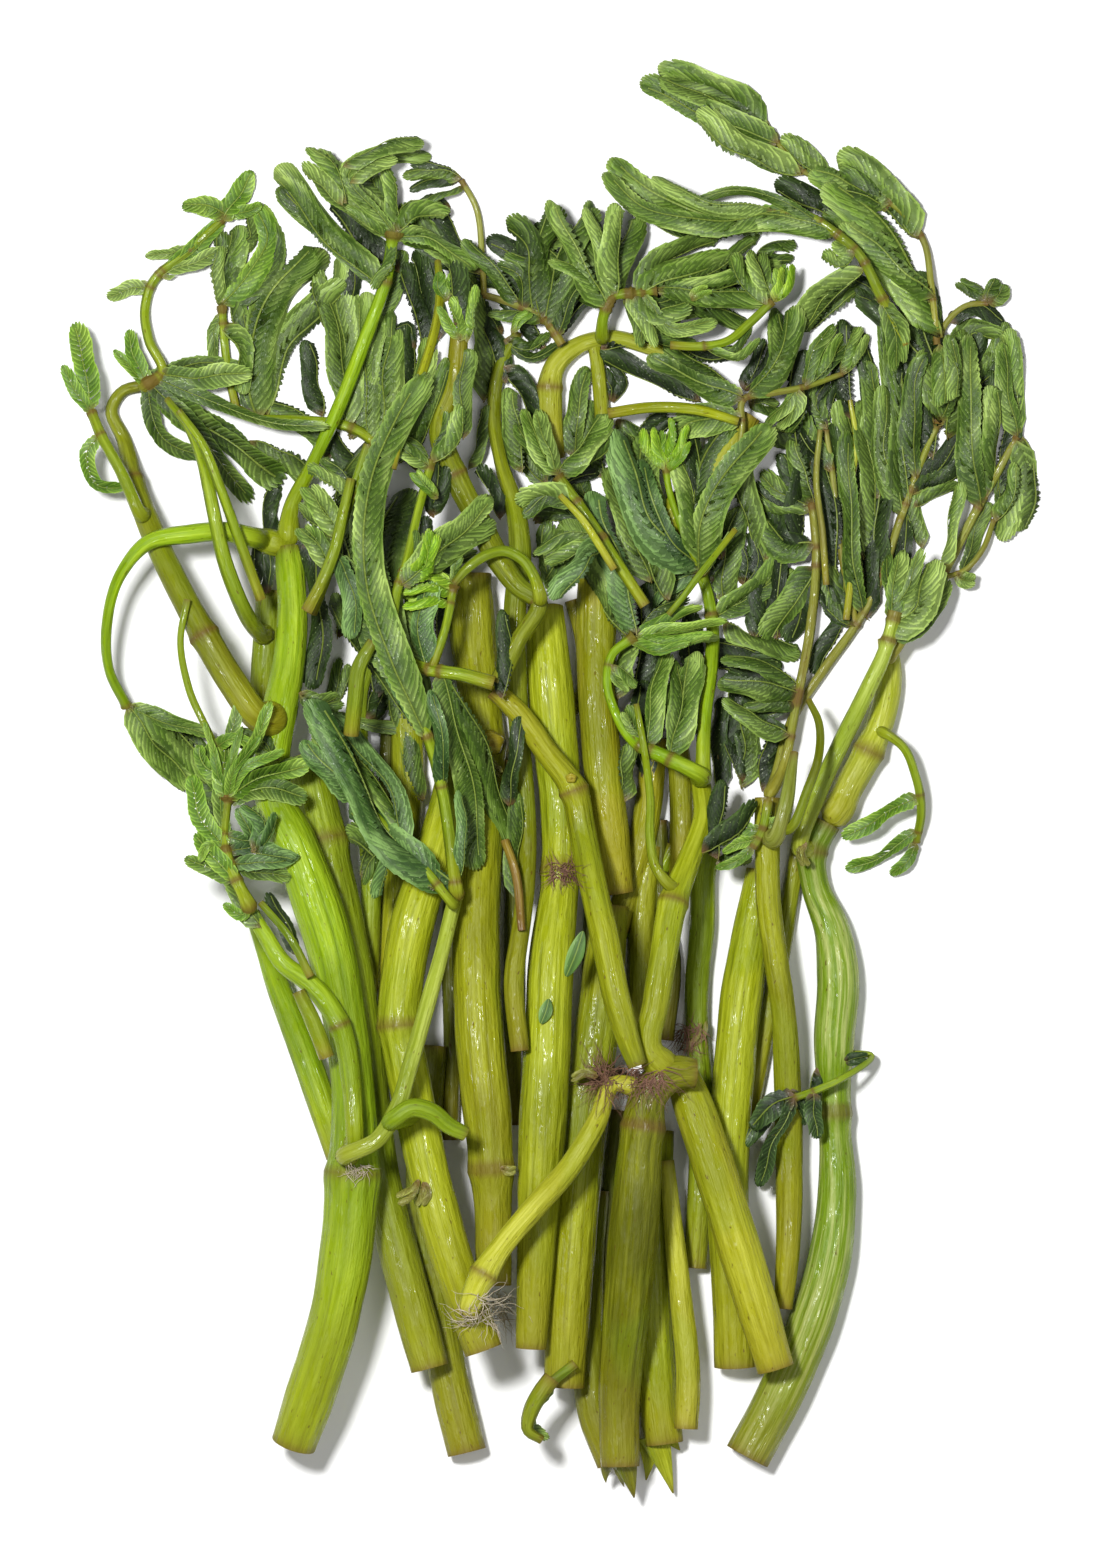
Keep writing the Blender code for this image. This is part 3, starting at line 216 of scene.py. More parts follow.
# Stems and branches, from the cut end up, lowest first: each route's points are picture x, picture y and
# diameter in millimetres. A branch starts at the height of the piece that it grows from. A ring scar
# swells a stem at its nodes, picture x and y. A torn lower end has splinters: width in millimetres,
# then picture x and y of three points.
STEMS = {
    "stem_low_left": dict(look="moss",
        route=[(467, 1452, 7.8), (453, 1395, 7.8), (440, 1330, 8), (430, 1260, 8), (425, 1180, 7.6),
               (425, 1110, 7.4), (430, 1045, 7)]),
    "stem_low_green": dict(look="lime",
        route=[(671, 1490, 2), (664, 1443, 7.6), (656, 1380, 8.4), (652, 1300, 8.2), (652, 1220, 7.8),
               (656, 1130, 7.2)],
        splinters=[(6.4, 654, 1434, 664, 1462, 673, 1493), (5, 648, 1438, 650, 1460, 646, 1480),
                   (3.6, 668, 1434, 676, 1446, 680, 1450)]),
    "stem_low_dark": dict(look="moss",
        route=[(614, 1462, 7), (597, 1415, 7.4), (588, 1350, 7.2), (586, 1270, 7), (592, 1190, 6.8)]),
    "stem_slim_right": dict(look="leafy",
        route=[(695, 1268, 4.8), (700, 1190, 5), (702, 1110, 5), (697, 1030, 4.8), (697, 985, 4.8),
               (702, 930, 5), (704, 870, 5), (712, 825, 4.6)]),
    "stem_right_behind": dict(look="lime",
        route=[(736, 1366, 8.6), (733, 1290, 8.6), (728, 1220, 8.4), (729, 1140, 8.2), (734, 1070, 8.4),
               (742, 990, 8.4), (752, 930, 7.6), (762, 870, 6.4)]),
    "stem_behind_leaves": dict(look="lime",
        route=[(393, 990, 6.4), (398, 910, 6.4), (405, 830, 6.4), (408, 760, 6.6), (408, 700, 6.4)]),
    "stem_slim_left": dict(look="leafy",
        route=[(368, 1008, 3.8), (370, 940, 4), (371, 870, 4), (364, 800, 4), (358, 740, 4.2),
               (358, 695, 4.2), (369, 653, 3.8)]),
    "stem_left_stub": dict(look="leafy",
        route=[(262, 712, 5), (266, 650, 5.6), (270, 590, 5.4)]),
    "stem_gold_upper": dict(look="lime",
        route=[(748, 415, 5.6), (728, 450, 7), (702, 488, 7), (674, 515, 6.6), (655, 555, 6)]),
    "stem_pale_upper": dict(look="gold",
        route=[(654, 738, 5), (649, 800, 5.6), (640, 850, 5.6), (628, 890, 5.4), (616, 930, 5)]),
    "stem_left_behind": dict(look="leafy",
        route=[(430, 1367, 7.6), (412, 1300, 8.2), (396, 1240, 8), (381, 1180, 7.8), (372, 1110, 7.8),
               (366, 1050, 8), (356, 985, 8.2), (342, 920, 8.6), (327, 850, 9), (316, 800, 8.8),
               (306, 757, 8.2)],
        nodes=[(335, 838)]),
    "stem_centre_upper": dict(look="gold",
        route=[(620, 893, 5.6), (612, 840, 7), (604, 780, 7.6), (598, 700, 8), (596, 630, 8.2),
               (598, 558, 7.4)]),
    "stem_centre_lower": dict(look="olive",
        route=[(564, 1386, 8.2), (568, 1300, 9.2), (576, 1200, 9.4), (586, 1100, 9.4), (598, 1020, 8.8),
               (606, 950, 8), (611, 905, 7)]),
    "stem_centre": dict(look="lime",
        route=[(531, 1347, 6), (536, 1250, 7.6), (541, 1150, 9.2), (547, 1050, 9.4), (552, 950, 9),
               (560, 880, 7.4), (560, 800, 8.4), (553, 720, 9.2), (547, 650, 8.6), (545, 607, 7.2)],
        nodes=[(559, 872)]),
    "stem_centre_left": dict(look="olive",
        route=[(494, 1284, 7), (493, 1200, 7.8), (489, 1130, 9.4), (481, 1050, 9.8), (477, 980, 9.8),
               (477, 900, 9.4), (482, 820, 8.8), (486, 740, 7.4), (478, 680, 8.6), (472, 620, 9.4),
               (471, 574, 8.4)],
        nodes=[(486, 745), (492, 1170)]),
    "stem_slim_centre": dict(look="moss",
        route=[(520, 1050, 3.6), (514, 980, 4), (522, 920, 3.8), (527, 870, 3.6), (526, 800, 3.6),
               (520, 740, 4), (516, 680, 4.4), (515, 610, 4.4), (520, 550, 4.6), (515, 508, 4),
               (501, 462, 2.8), (494, 415, 2.8), (501, 365, 2.6), (518, 332, 2)]),
    "stem_yellow_flat": dict(look="straw",
        route=[(686, 1428, 4.8), (688, 1375, 5), (681, 1300, 4.6), (673, 1225, 3.8), (667, 1160, 2.8)]),
    "stem_far_right": dict(look="weathered",
        route=[(747, 1456, 9), (777, 1400, 9.4), (808, 1330, 9.2), (828, 1265, 8.6), (837, 1190, 7.8),
               (834, 1110, 6.4), (834, 1040, 8), (838, 980, 8.6), (832, 930, 7.4), (815, 885, 5.6),
               (812, 850, 5.8), (826, 822, 6)],
        nodes=[(834, 1115), (812, 850)]),
    "stem_right_slim": dict(look="olive",
        route=[(783, 1308, 3.6), (788, 1240, 5), (789, 1160, 5.6), (787, 1080, 5.4), (783, 1010, 5),
               (775, 955, 5), (768, 900, 5), (767, 845, 5), (768, 798, 5.6)]),
    "stem_left_middle": dict(look="lime",
        route=[(484, 1348, 7.6), (463, 1290, 8.2), (444, 1230, 8.6), (431, 1180, 8.2), (418, 1120, 8.4),
               (406, 1060, 8.6), (400, 1022, 8.4), (404, 970, 8.6), (415, 915, 8.8), (432, 862, 8.2),
               (446, 810, 7.2), (455, 765, 6)],
        nodes=[(402, 1024)]),
    "stem_gold_slant": dict(look="yellow",
        route=[(775, 1367, 7.6), (755, 1300, 8.4), (732, 1225, 8.6), (710, 1155, 8.6), (693, 1105, 8),
               (682, 1075, 6.8)]),
    "stem_front_elbow": dict(look="dark",
        route=[(630, 1495, 3), (620, 1465, 7.6), (619, 1400, 8.2), (627, 1300, 9.6), (636, 1200, 9.6),
               (642, 1130, 8.4), (650, 1092, 7.4), (672, 1072, 7.2), (695, 1072, 5.8)],
        nodes=[(640, 1128)],
        splinters=[(5.4, 624, 1458, 630, 1476, 634, 1497), (3, 608, 1462, 604, 1472, 606, 1482),
                   (2.4, 618, 1464, 620, 1476, 624, 1486)]),
    "stem_left_edge": dict(look="bright",
        route=[(340, 1155, 5.6), (318, 1090, 5.8), (300, 1040, 5.6), (280, 990, 5), (264, 945, 3.8),
               (252, 912, 3)]),
    "stem_left_front": dict(look="bright",
        route=[(294, 1443, 9), (314, 1385, 10), (334, 1320, 10.2), (348, 1240, 10.6), (353, 1180, 10.4),
               (355, 1120, 9.2), (351, 1060, 8.6), (342, 1000, 8.8), (329, 940, 9.6), (313, 890, 9.8),
               (294, 840, 9), (274, 795, 7.4), (273, 760, 7), (280, 715, 7.2), (290, 660, 6.6),
               (293, 610, 6), (290, 565, 5.6), (288, 548, 4.8)],
        nodes=[(353, 1172)]),
    "branch_left_long": dict(look="moss", grows_from="stem_left_front",
        route=[(258, 716, 5.8), (235, 685, 5.8), (205, 635, 5.6), (178, 585, 5.2), (152, 530, 4.8),
               (134, 480, 4), (124, 440, 3), (112, 408, 2.6), (122, 392, 2.4), (146, 385, 2.4)],
        nodes=[(134, 480), (205, 635)]),
    "branch_left_leafy": dict(look="bright", grows_from="stem_left_front",
        route=[(356, 1140, 3.6), (352, 1080, 4), (341, 1025, 4.2), (314, 985, 4), (284, 962, 3.6),
               (265, 932, 3.2), (247, 903, 2.6)],
        nodes=[(341, 1025)]),
    "stem_forked": dict(look="lime", meets="stem_front_elbow",
        route=[(650, 1050, 5), (656, 1000, 5.4), (664, 950, 5.6), (672, 905, 5.8), (688, 862, 4.6),
               (704, 815, 4.4), (700, 778, 3.8)],
        nodes=[(673, 900)]),
    "branch_arched": dict(look="pale",
        route=[(560, 458, 2.2), (550, 410, 5), (556, 365, 4.4), (580, 345, 3.6), (612, 338, 3.2),
               (648, 347, 3), (682, 362, 2.8), (712, 385, 2.2)],
        nodes=[(552, 385)]),
    "branch_zigzag_lower": dict(look="olive", meets="stem_front_elbow",
        route=[(495, 690, 3.6), (520, 715, 4.6), (545, 750, 4.8), (573, 789, 5.4), (582, 830, 5.4),
               (592, 880, 5.6), (605, 940, 5.8), (617, 1000, 5.4), (629, 1042, 4.6), (637, 1064, 3.8)],
        nodes=[(573, 789), (495, 690)]),
    "branch_zigzag_upper": dict(look="moss", grows_from="branch_zigzag_lower",
        route=[(460, 330, 3.4), (454, 390, 4.4), (441, 432, 4.8), (455, 475, 4.8), (478, 520, 4.8),
               (500, 562, 4.8), (522, 590, 4), (538, 600, 3.6), (518, 642, 3.4), (498, 684, 3.8)],
        nodes=[(538, 600), (455, 475)]),
    "branch_yellow_slant": dict(look="straw", grows_from="stem_front_elbow",
        route=[(614, 1083, 3.2), (597, 1120, 4.2), (570, 1165, 4.6), (535, 1205, 4.6), (500, 1247, 4.6),
               (482, 1275, 5.4), (466, 1312, 4.4)],
        nodes=[(486, 1270)]),
    "branch_slim_left": dict(look="sap", grows_from="stem_left_front",
        route=[(349, 1152, 3.6), (378, 1138, 3.4), (397, 1108, 3.4), (412, 1060, 3.2), (429, 1000, 3.2),
               (444, 945, 3), (456, 895, 3)]),
    "branch_right_upper": dict(look="pale", grows_from="stem_far_right",
        route=[(836, 812, 5), (850, 785, 6), (868, 752, 6), (884, 710, 5.4), (890, 670, 4.6),
               (886, 638, 3.4)],
        nodes=[(868, 752)]),
}

# Thin leafless stalks past the solids' budget, laid over the bunch, with routes like the stems'
EXTRA_STALKS = {
    "stalk_left_rise": dict(grows_from="stem_left_stub",
        route=[(262, 634, 3.4), (240, 600, 3.2), (226, 562, 3), (218, 528, 2.8), (210, 490, 2.6),
               (203, 462, 2.2), (190, 430, 1.8), (168, 400, 1.4)]),
    "stalk_curl": dict(grows_from="branch_zigzag_upper",
        route=[(540, 598, 2.4), (533, 575, 2.2), (522, 560, 2.2), (505, 552, 2.2), (485, 557, 2.2),
               (467, 570, 2), (455, 584, 1.6)]),
    "stalk_gold_flat": dict(look="lime",
        route=[(608, 414, 2.2), (650, 408, 2.2), (700, 411, 2.2), (738, 422, 1.8)]),
    "stalk_left_slant": dict(
        route=[(308, 612, 2.6), (322, 585, 2.4), (334, 556, 2.4), (344, 515, 2.2), (352, 480, 1.8)]),
    "stalk_left_hidden": dict(
        route=[(352, 735, 3.2), (356, 700, 3.2), (360, 668, 3), (374, 642, 2.4)]),
    "stalk_left_thin": dict(
        route=[(312, 976, 1.7), (292, 938, 1.6), (262, 902, 1.4)]),
    "stalk_right_bundle": dict(look="tan", grows_from="stem_right_slim",
        route=[(776, 836, 3.2), (785, 806, 3), (790, 776, 2.4), (794, 752, 1.6)]),
    "stalk_right_inner": dict(look="moss", grows_from="stem_right_slim",
        route=[(792, 826, 2), (806, 792, 1.9), (818, 756, 1.8), (818, 722, 1.6), (808, 700, 1.3)]),
    "stalk_stub_left": dict(look="bright", grows_from="stem_left_middle",
        route=[(396, 1116, 3.6), (412, 1106, 3.8), (432, 1110, 3.8), (450, 1124, 3.4), (466, 1132, 3)]),
    "stalk_low_curl": dict(look="moss",
        route=[(552, 1376, 3.6), (540, 1392, 3.6), (530, 1412, 3.2), (528, 1428, 2.4), (542, 1438, 1.8)]),
    "stalk_left_thin_low": dict(
        route=[(262, 600, 2.2), (240, 540, 2.2), (222, 490, 2), (204, 446, 1.8), (180, 412, 1.4)]),
    "stalk_left_edge": dict(
        route=[(328, 1056, 3.2), (314, 1020, 3.2), (300, 990, 2.8)]),
    "stalk_top_left": dict(look="olive",
        route=[(392, 470, 2.2), (404, 420, 2.2), (424, 370, 2), (440, 300, 1.8), (438, 262, 1.4)]),
    "stalk_right_line": dict(look="pale",
        route=[(846, 620, 1.4), (852, 560, 1.4), (850, 500, 1.3), (856, 440, 1.2), (850, 400, 1)]),
    "stalk_right_second": dict(look="tan",
        route=[(826, 585, 1.4), (822, 530, 1.4), (816, 480, 1.3), (820, 430, 1.1)]),
    "stalk_centre_line": dict(look="pale",
        route=[(614, 570, 1.6), (600, 547, 1.6), (582, 520, 1.5), (560, 496, 1.3)]),
    "stalk_brown": dict(look="rust",
        route=[(505, 840, 1.8), (515, 870, 1.8), (522, 930, 1.6)]),
    "stalk_fork": dict(grows_from="stem_forked",
        route=[(668, 884, 2), (655, 866, 2), (650, 840, 1.9), (650, 800, 1.7), (644, 750, 1.5),
               (636, 704, 1.2)]),
    "stalk_centre_diag": dict(
        route=[(735, 530, 1.3), (716, 554, 1.3), (697, 578, 1.4), (683, 597, 1.3), (668, 615, 1.2)]),
}

# Low stalks on the floor, between and under the stems. Those in the under finish are nearly black and paint
# the shade in the gaps between the stems
UNDER_STALKS = {
    "under_stalk_1": dict(look="under",
        route=[(512, 1125, 4), (513, 1000, 4), (514, 880, 4), (512, 760, 4)]),
    "under_stalk_2": dict(look="under",
        route=[(590, 1040, 4), (592, 960, 4), (594, 890, 4), (592, 820, 3.6)]),
    "under_stalk_3": dict(look="under",
        route=[(665, 1040, 3.6), (672, 960, 3.6), (662, 900, 3.6), (660, 820, 3)]),
    "under_stalk_4": dict(look="under",
        route=[(450, 1140, 3.4), (452, 1040, 3.4), (450, 960, 3.4), (452, 880, 3)]),
    "under_stalk_5": dict(look="under",
        route=[(386, 1010, 3), (384, 900, 3), (386, 800, 3), (388, 720, 3)]),
    "under_stalk_6": dict(look="under",
        route=[(600, 1340, 3), (607, 1240, 3), (612, 1160, 3), (618, 1110, 3)]),
    "under_stalk_7": dict(look="olive",
        route=[(748, 1120, 3.4), (757, 1075, 3.6), (768, 1020, 3.6), (780, 960, 3.6), (790, 900, 3.4),
               (798, 850, 3.2)]),
    "under_stalk_9": dict(look="gold",
        route=[(680, 890, 4.8), (682, 830, 5), (680, 770, 4.8), (676, 736, 4.4)]),
    "under_stalk_10": dict(look="olive",
        route=[(640, 1044, 5), (640, 960, 5), (645, 890, 5), (652, 846, 4)]),
    "under_stalk_12": dict(look="bright",
        route=[(674, 846, 3.2), (656, 878, 3.4), (636, 908, 3.4), (614, 944, 3.2)]),
    "under_stalk_11": dict(look="lime",
        route=[(604, 440, 3.4), (601, 400, 3), (597, 362, 2.8), (592, 336, 2.4)]),
    "under_stalk_8": dict(look="gold",
        route=[(545, 720, 3.4), (580, 700, 3.4), (583, 640, 3.4), (572, 600, 3)]),
}

# Leaves: the routes of a leaf's stalks, then its folded pinnae, each as its width in millimetres and the
# picture x and y of three or more points from its base to its tip. Upper pinnae are past the solids'
# budget and lie over the rest. Under each pinna lie companions, turned from it by these angles in radians.
LEAVES = {
    "leaf_back_left": dict(look="sage", companions=(0.2,),
        stalks=[[(398, 462, 2.2), (352, 428, 2.2), (300, 420, 2), (252, 416, 1.8), (236, 408, 1.8)],
                [(236, 408, 1.8), (228, 370, 1.8), (224, 335, 1.8), (222, 306, 1.8)]],
        blades=[(4.8, 252, 416, 259, 350, 262, 292), (7.4, 262, 416, 268, 330, 325, 252),
                (5.2, 352, 426, 350, 340, 344, 252), (4.4, 376, 442, 372, 370, 366, 292),
                (5.2, 388, 452, 394, 390, 400, 330), (4.6, 398, 460, 421, 390, 426, 338),
                (4.2, 222, 308, 236, 265, 242, 225), (4.8, 222, 306, 250, 283, 271, 240, 258, 204),
                (4.4, 224, 325, 242, 345, 244, 395)],
        upper=[(2.4, 222, 312, 212, 335, 213, 362), (3, 222, 308, 219, 275, 223, 246)]),
    "leaf_top_middle": dict(look="deep", stalk_look="tan", companions=(0.28, -0.3),
        stalks=[[(562, 345, 2.8), (545, 320, 2.4), (515, 305, 2.2), (484, 295, 2)],
                [(484, 295, 1.8), (482, 255, 1.8), (475, 205, 1.8), (461, 180, 1.6)]],
        blades=[(4.6, 482, 272, 440, 242, 400, 205), (4.4, 545, 318, 537, 265, 575, 238),
                (5, 548, 318, 544, 255, 560, 207), (5.2, 552, 325, 572, 250, 598, 210),
                (5.4, 525, 308, 528, 268, 500, 256), (5, 540, 312, 534, 240, 508, 217),
                (3.6, 556, 335, 582, 280, 606, 264), (2.9, 460, 180, 432, 174, 402, 177)],
        upper=[(1.8, 466, 186, 440, 196, 420, 206), (3.6, 520, 306, 492, 275, 462, 240),
               (2.8, 545, 320, 515, 317, 488, 314)]),
    "leaf_top_arch": dict(look="sage", grows_from="branch_arched", companions=(0.28, -0.3),
        stalks=[[(602, 336, 2.2), (605, 312, 2.2), (612, 298, 2), (634, 294, 2), (656, 291, 1.8)]],
        blades=[(3.2, 607, 305, 600, 250, 584, 208), (5, 612, 298, 611, 250, 615, 204),
                (4.6, 605, 310, 572, 258, 548, 201), (5.2, 632, 294, 685, 264, 745, 262),
                (3.8, 656, 291, 710, 283, 784, 262), (4.2, 656, 291, 715, 300, 768, 303),
                (4, 632, 295, 662, 318, 692, 308), (2.8, 625, 296, 645, 325, 656, 348),
                (3, 640, 296, 680, 334, 717, 322)],
        upper=[(3.2, 600, 300, 575, 272, 548, 262)]),
    "leaf_top_runner": dict(
        stalks=[[(670, 346, 1.8), (702, 347, 1.8), (727, 342, 1.8), (748, 325, 1.8), (772, 302, 1.6)]],
        blades=[(3.8, 772, 302, 786, 285, 788, 262), (5.2, 768, 304, 748, 275, 738, 246),
                (2.2, 705, 347, 735, 359, 760, 339)]),
    "leaf_right_tall": dict(look="deep", stalk_look="tan", meets="stem_right_slim", companions=(0.16, -0.2),
        stalks=[[(775, 778, 3), (792, 720, 2.8), (825, 668, 2.8), (856, 625, 2.6), (880, 580, 2.6),
                 (900, 520, 2.4), (918, 470, 2.2), (938, 424, 2)],
                [(856, 625, 2.2), (850, 598, 2.2), (844, 570, 2), (838, 530, 2), (832, 470, 1.8),
                 (826, 430, 1.6)],
                [(938, 424, 1.8), (942, 375, 1.8), (945, 325, 1.8), (966, 306, 1.8), (988, 303, 1.8)]],
        blades=[(4.6, 938, 424, 975, 388, 1007, 322), (6.4, 940, 424, 925, 340, 882, 262),
                (5.2, 905, 505, 893, 420, 884, 300), (4.6, 915, 478, 908, 405, 925, 350),
                (4.4, 910, 492, 950, 460, 986, 426), (5.2, 882, 576, 868, 490, 860, 400),
                (5.4, 856, 625, 835, 600, 824, 560), (4.8, 988, 303, 998, 292, 1003, 280),
                (4, 826, 430, 815, 400, 822, 372), (4.4, 832, 470, 810, 440, 800, 410)],
        upper=[(4.2, 901, 518, 880, 455, 882, 385), (4.2, 940, 420, 952, 375, 948, 335),
               (2.8, 986, 303, 972, 289, 956, 280), (4.6, 862, 615, 847, 520, 846, 430)]),
    "leaf_right_edge": dict(stalk_look="tan", grows_from="branch_right_upper", companions=(0.16,),
        stalks=[[(890, 657, 3), (915, 620, 3), (940, 578, 3), (960, 542, 2.8), (982, 500, 2.6),
                 (1000, 468, 2.4), (1017, 436, 2)],
                [(942, 580, 1.6), (965, 570, 1.6), (981, 552, 1.6), (994, 520, 1.6)]],
        blades=[(4.2, 1017, 436, 1015, 385, 1008, 328), (4.2, 1016, 438, 1004, 388, 1000, 342),
                (5.4, 984, 496, 992, 440, 990, 385), (5.8, 978, 506, 965, 420, 968, 335),
                (6, 1017, 437, 1021, 482, 1001, 541), (3.4, 958, 575, 966, 582, 978, 580),
                (3.4, 994, 520, 1006, 500, 1014, 462)],
        upper=[(3.2, 944, 570, 951, 530, 962, 482)]),
    "leaf_crown_right": dict(look="sage", stalk_look="tan", companions=(0.07,),
        stalks=[[(937, 345, 2), (931, 285, 2), (923, 240, 2), (895, 206, 2), (850, 188, 2), (803, 171, 1.8),
                 (768, 130, 1.6)]],
        blades=[(5, 768, 130, 725, 88, 657, 68), (5, 778, 142, 710, 110, 640, 80),
                (5.2, 803, 171, 752, 150, 697, 110), (4.2, 832, 182, 805, 156, 782, 135),
                (6.2, 920, 238, 885, 187, 838, 152), (5.4, 890, 208, 850, 192, 808, 174),
                (7.6, 937, 340, 885, 248, 822, 186), (5.6, 932, 300, 882, 264, 840, 224),
                (5.6, 937, 345, 945, 380, 944, 410)]),
    "leaf_crown_sweep": dict(look="sage", companions=(0.06,),
        stalks=[[(905, 345, 2.2), (880, 295, 2.2), (856, 252, 2), (838, 236, 2), (800, 214, 1.8),
                 (772, 212, 1.6)]],
        blades=[(6.6, 790, 212, 690, 215, 607, 160), (4.2, 838, 236, 775, 225, 690, 230),
                (4.6, 775, 214, 680, 226, 603, 174), (4.8, 852, 252, 838, 258, 825, 246),
                (4.4, 864, 266, 826, 290, 786, 335), (5, 882, 300, 896, 330, 900, 372)],
        upper=[(2.6, 820, 222, 755, 195, 692, 203), (3.4, 772, 212, 700, 205, 652, 178)]),
    "leaf_gold_stalk": dict(look="sage", stalk_look="tan",
        stalks=[[(735, 472, 2), (742, 430, 2), (743, 400, 2), (770, 394, 2), (805, 387, 1.8),
                 (842, 374, 1.6)]],
        blades=[(3.8, 842, 374, 855, 350, 868, 325), (4.6, 805, 387, 822, 354, 840, 326),
                (4.8, 748, 398, 782, 372, 797, 306), (5.4, 743, 400, 700, 385, 646, 358),
                (5, 800, 388, 788, 415, 768, 432), (5, 740, 420, 700, 425, 668, 440)]),
    "leaf_centre_right": dict(stalk_look="bright", grows_from="stem_forked",
        stalks=[[(702, 772, 3), (704, 720, 2.8), (711, 665, 2.8), (712, 620, 2.6), (706, 588, 2.4),
                 (700, 572, 2.2)],
                [(700, 572, 1.6), (682, 530, 1.4), (669, 490, 1.4), (665, 464, 1.4)]],
        blades=[(6.4, 702, 572, 722, 492, 773, 426), (5, 699, 570, 690, 510, 668, 452),
                (5.4, 696, 572, 656, 522, 640, 460), (6.8, 692, 574, 640, 520, 613, 430),
                (3.4, 698, 574, 665, 590, 641, 619), (3.8, 712, 614, 750, 590, 787, 543),
                (2.1, 666, 466, 678, 447, 688, 425), (3.8, 664, 470, 650, 446, 646, 425)],
        upper=[(2.1, 665, 464, 671, 440, 670, 418), (2, 667, 472, 681, 456, 690, 442),
               (1.8, 704, 575, 720, 548, 736, 527)]),
    "leaf_centre_hook": dict(stalk_look="bright", grows_from="stem_forked",
        stalks=[[(697, 773, 3.4), (665, 757, 3), (635, 742, 2.6), (615, 712, 2), (607, 680, 1.8),
                 (612, 655, 1.8), (634, 637, 2)]],
        blades=[(2.6, 634, 636, 670, 616, 703, 607), (2.6, 634, 637, 682, 627, 727, 621),
                (6.4, 634, 636, 606, 560, 591, 492), (3.4, 608, 665, 619, 676, 634, 692),
                (3.8, 640, 744, 632, 725, 623, 705), (4.4, 650, 750, 655, 700, 668, 652),
                (4.4, 672, 760, 690, 705, 697, 652)],
        upper=[(2.8, 634, 638, 676, 640, 713, 634), (2.4, 630, 640, 660, 649, 690, 643)]),
    "leaf_centre": dict(
        stalks=[[(645, 606, 2.4), (615, 560, 2.4), (590, 522, 2.4), (558, 477, 2.2)]],
        blades=[(5.8, 558, 477, 540, 440, 527, 402), (4.4, 560, 476, 585, 452, 610, 416),
                (4.8, 600, 538, 566, 546, 535, 560), (4.4, 602, 540, 570, 572, 550, 600),
                (4.2, 578, 504, 545, 491, 515, 503)]),
    "leaf_centre_left": dict(
        stalks=[[(494, 684, 3), (462, 675, 2.8), (430, 670, 2.6), (402, 660, 2.4)],
                [(432, 670, 2), (446, 628, 1.8), (454, 587, 1.8)]],
        blades=[(5.2, 440, 672, 463, 775, 476, 870), (2.5, 454, 584, 427, 574, 402, 582),
                (2.5, 454, 586, 427, 590, 401, 597), (2.3, 452, 588, 427, 601, 403, 608),
                (4.6, 430, 670, 424, 630, 432, 580)],
        upper=[(2.4, 447, 583, 428, 576, 407, 581), (2.4, 447, 593, 426, 590, 402, 594),
               (2.4, 446, 603, 426, 604, 403, 608), (2, 450, 584, 456, 570, 462, 556)]),
    "leaf_crown_left": dict(look="sage", stalk_look="bright", grows_from="stem_left_front",
        companions=(0.12,),
        stalks=[[(289, 540, 3.6), (291, 512, 3.4), (310, 470, 2.8), (338, 410, 2.8), (365, 340, 2.8),
                 (386, 280, 2.6), (394, 232, 2.4)]],
        blades=[(5.2, 385, 284, 330, 228, 277, 165), (5.8, 394, 232, 362, 190, 323, 167),
                (4.6, 393, 234, 345, 195, 318, 150), (3.2, 392, 236, 350, 172, 378, 151, 423, 143),
                (3.4, 395, 228, 392, 195, 382, 165), (4.4, 394, 234, 430, 238, 478, 268),
                (4.2, 395, 230, 418, 208, 450, 212)],
        upper=[(2.2, 393, 238, 370, 222, 346, 207), (2.6, 394, 236, 388, 262, 372, 290)]),
    "leaf_left_tip": dict(look="sage", grows_from="branch_left_long", feathery=True, companions=(),
        stalks=[[(146, 385, 2.4), (162, 374, 2.2), (149, 340, 2), (145, 310, 2), (151, 286, 2),
                 (190, 250, 1.8), (228, 215, 1.6)]],
        blades=[(4.9, 222, 220, 240, 192, 253, 171), (4.2, 166, 272, 195, 247, 224, 220),
                (4.8, 226, 216, 205, 207, 183, 206), (3.2, 160, 277, 195, 263, 228, 250),
                (3.2, 151, 286, 128, 289, 107, 297), (4.9, 162, 377, 205, 378, 253, 373),
                (6.6, 152, 386, 215, 432, 284, 484), (3.6, 147, 384, 138, 362, 129, 330),
                (3.6, 150, 386, 160, 440, 204, 456), (4.2, 152, 388, 208, 445, 251, 502),
                (3.4, 158, 380, 245, 415, 330, 427)],
        upper=[(2.5, 190, 250, 168, 253, 145, 257), (3, 228, 216, 246, 211, 262, 204),
               (2.5, 146, 384, 127, 366, 114, 350)]),
    "leaf_far_left": dict(look="fresh", grows_from="branch_left_long", feathery=True, companions=(),
        stalks=[[(142, 515, 2.6), (122, 472, 2.4), (102, 436, 2.2), (92, 412, 2)]],
        blades=[(4.8, 92, 412, 88, 370, 76, 323), (2.9, 93, 414, 78, 392, 63, 366),
                (3.4, 102, 436, 87, 455, 97, 482, 127, 488)]),
    "leaf_left_arch": dict(stalk_look="bright", grows_from="stem_left_front", companions=(),
        stalks=[[(266, 541, 4.2), (248, 537, 4.2), (230, 533, 4), (190, 535, 3.8), (150, 543, 3.2),
                 (122, 575, 2.4), (108, 625, 2.2), (110, 670, 2), (127, 706, 2)]],
        blades=[(8.4, 127, 706, 165, 747, 206, 792), (3.4, 127, 706, 172, 720, 212, 735)]),
    "leaf_left_low": dict(look="fresh", grows_from="branch_left_leafy", feathery=True, companions=(0.4,),
        stalks=[[(250, 905, 2.6), (238, 880, 2.4), (226, 845, 2.2), (228, 800, 2)],
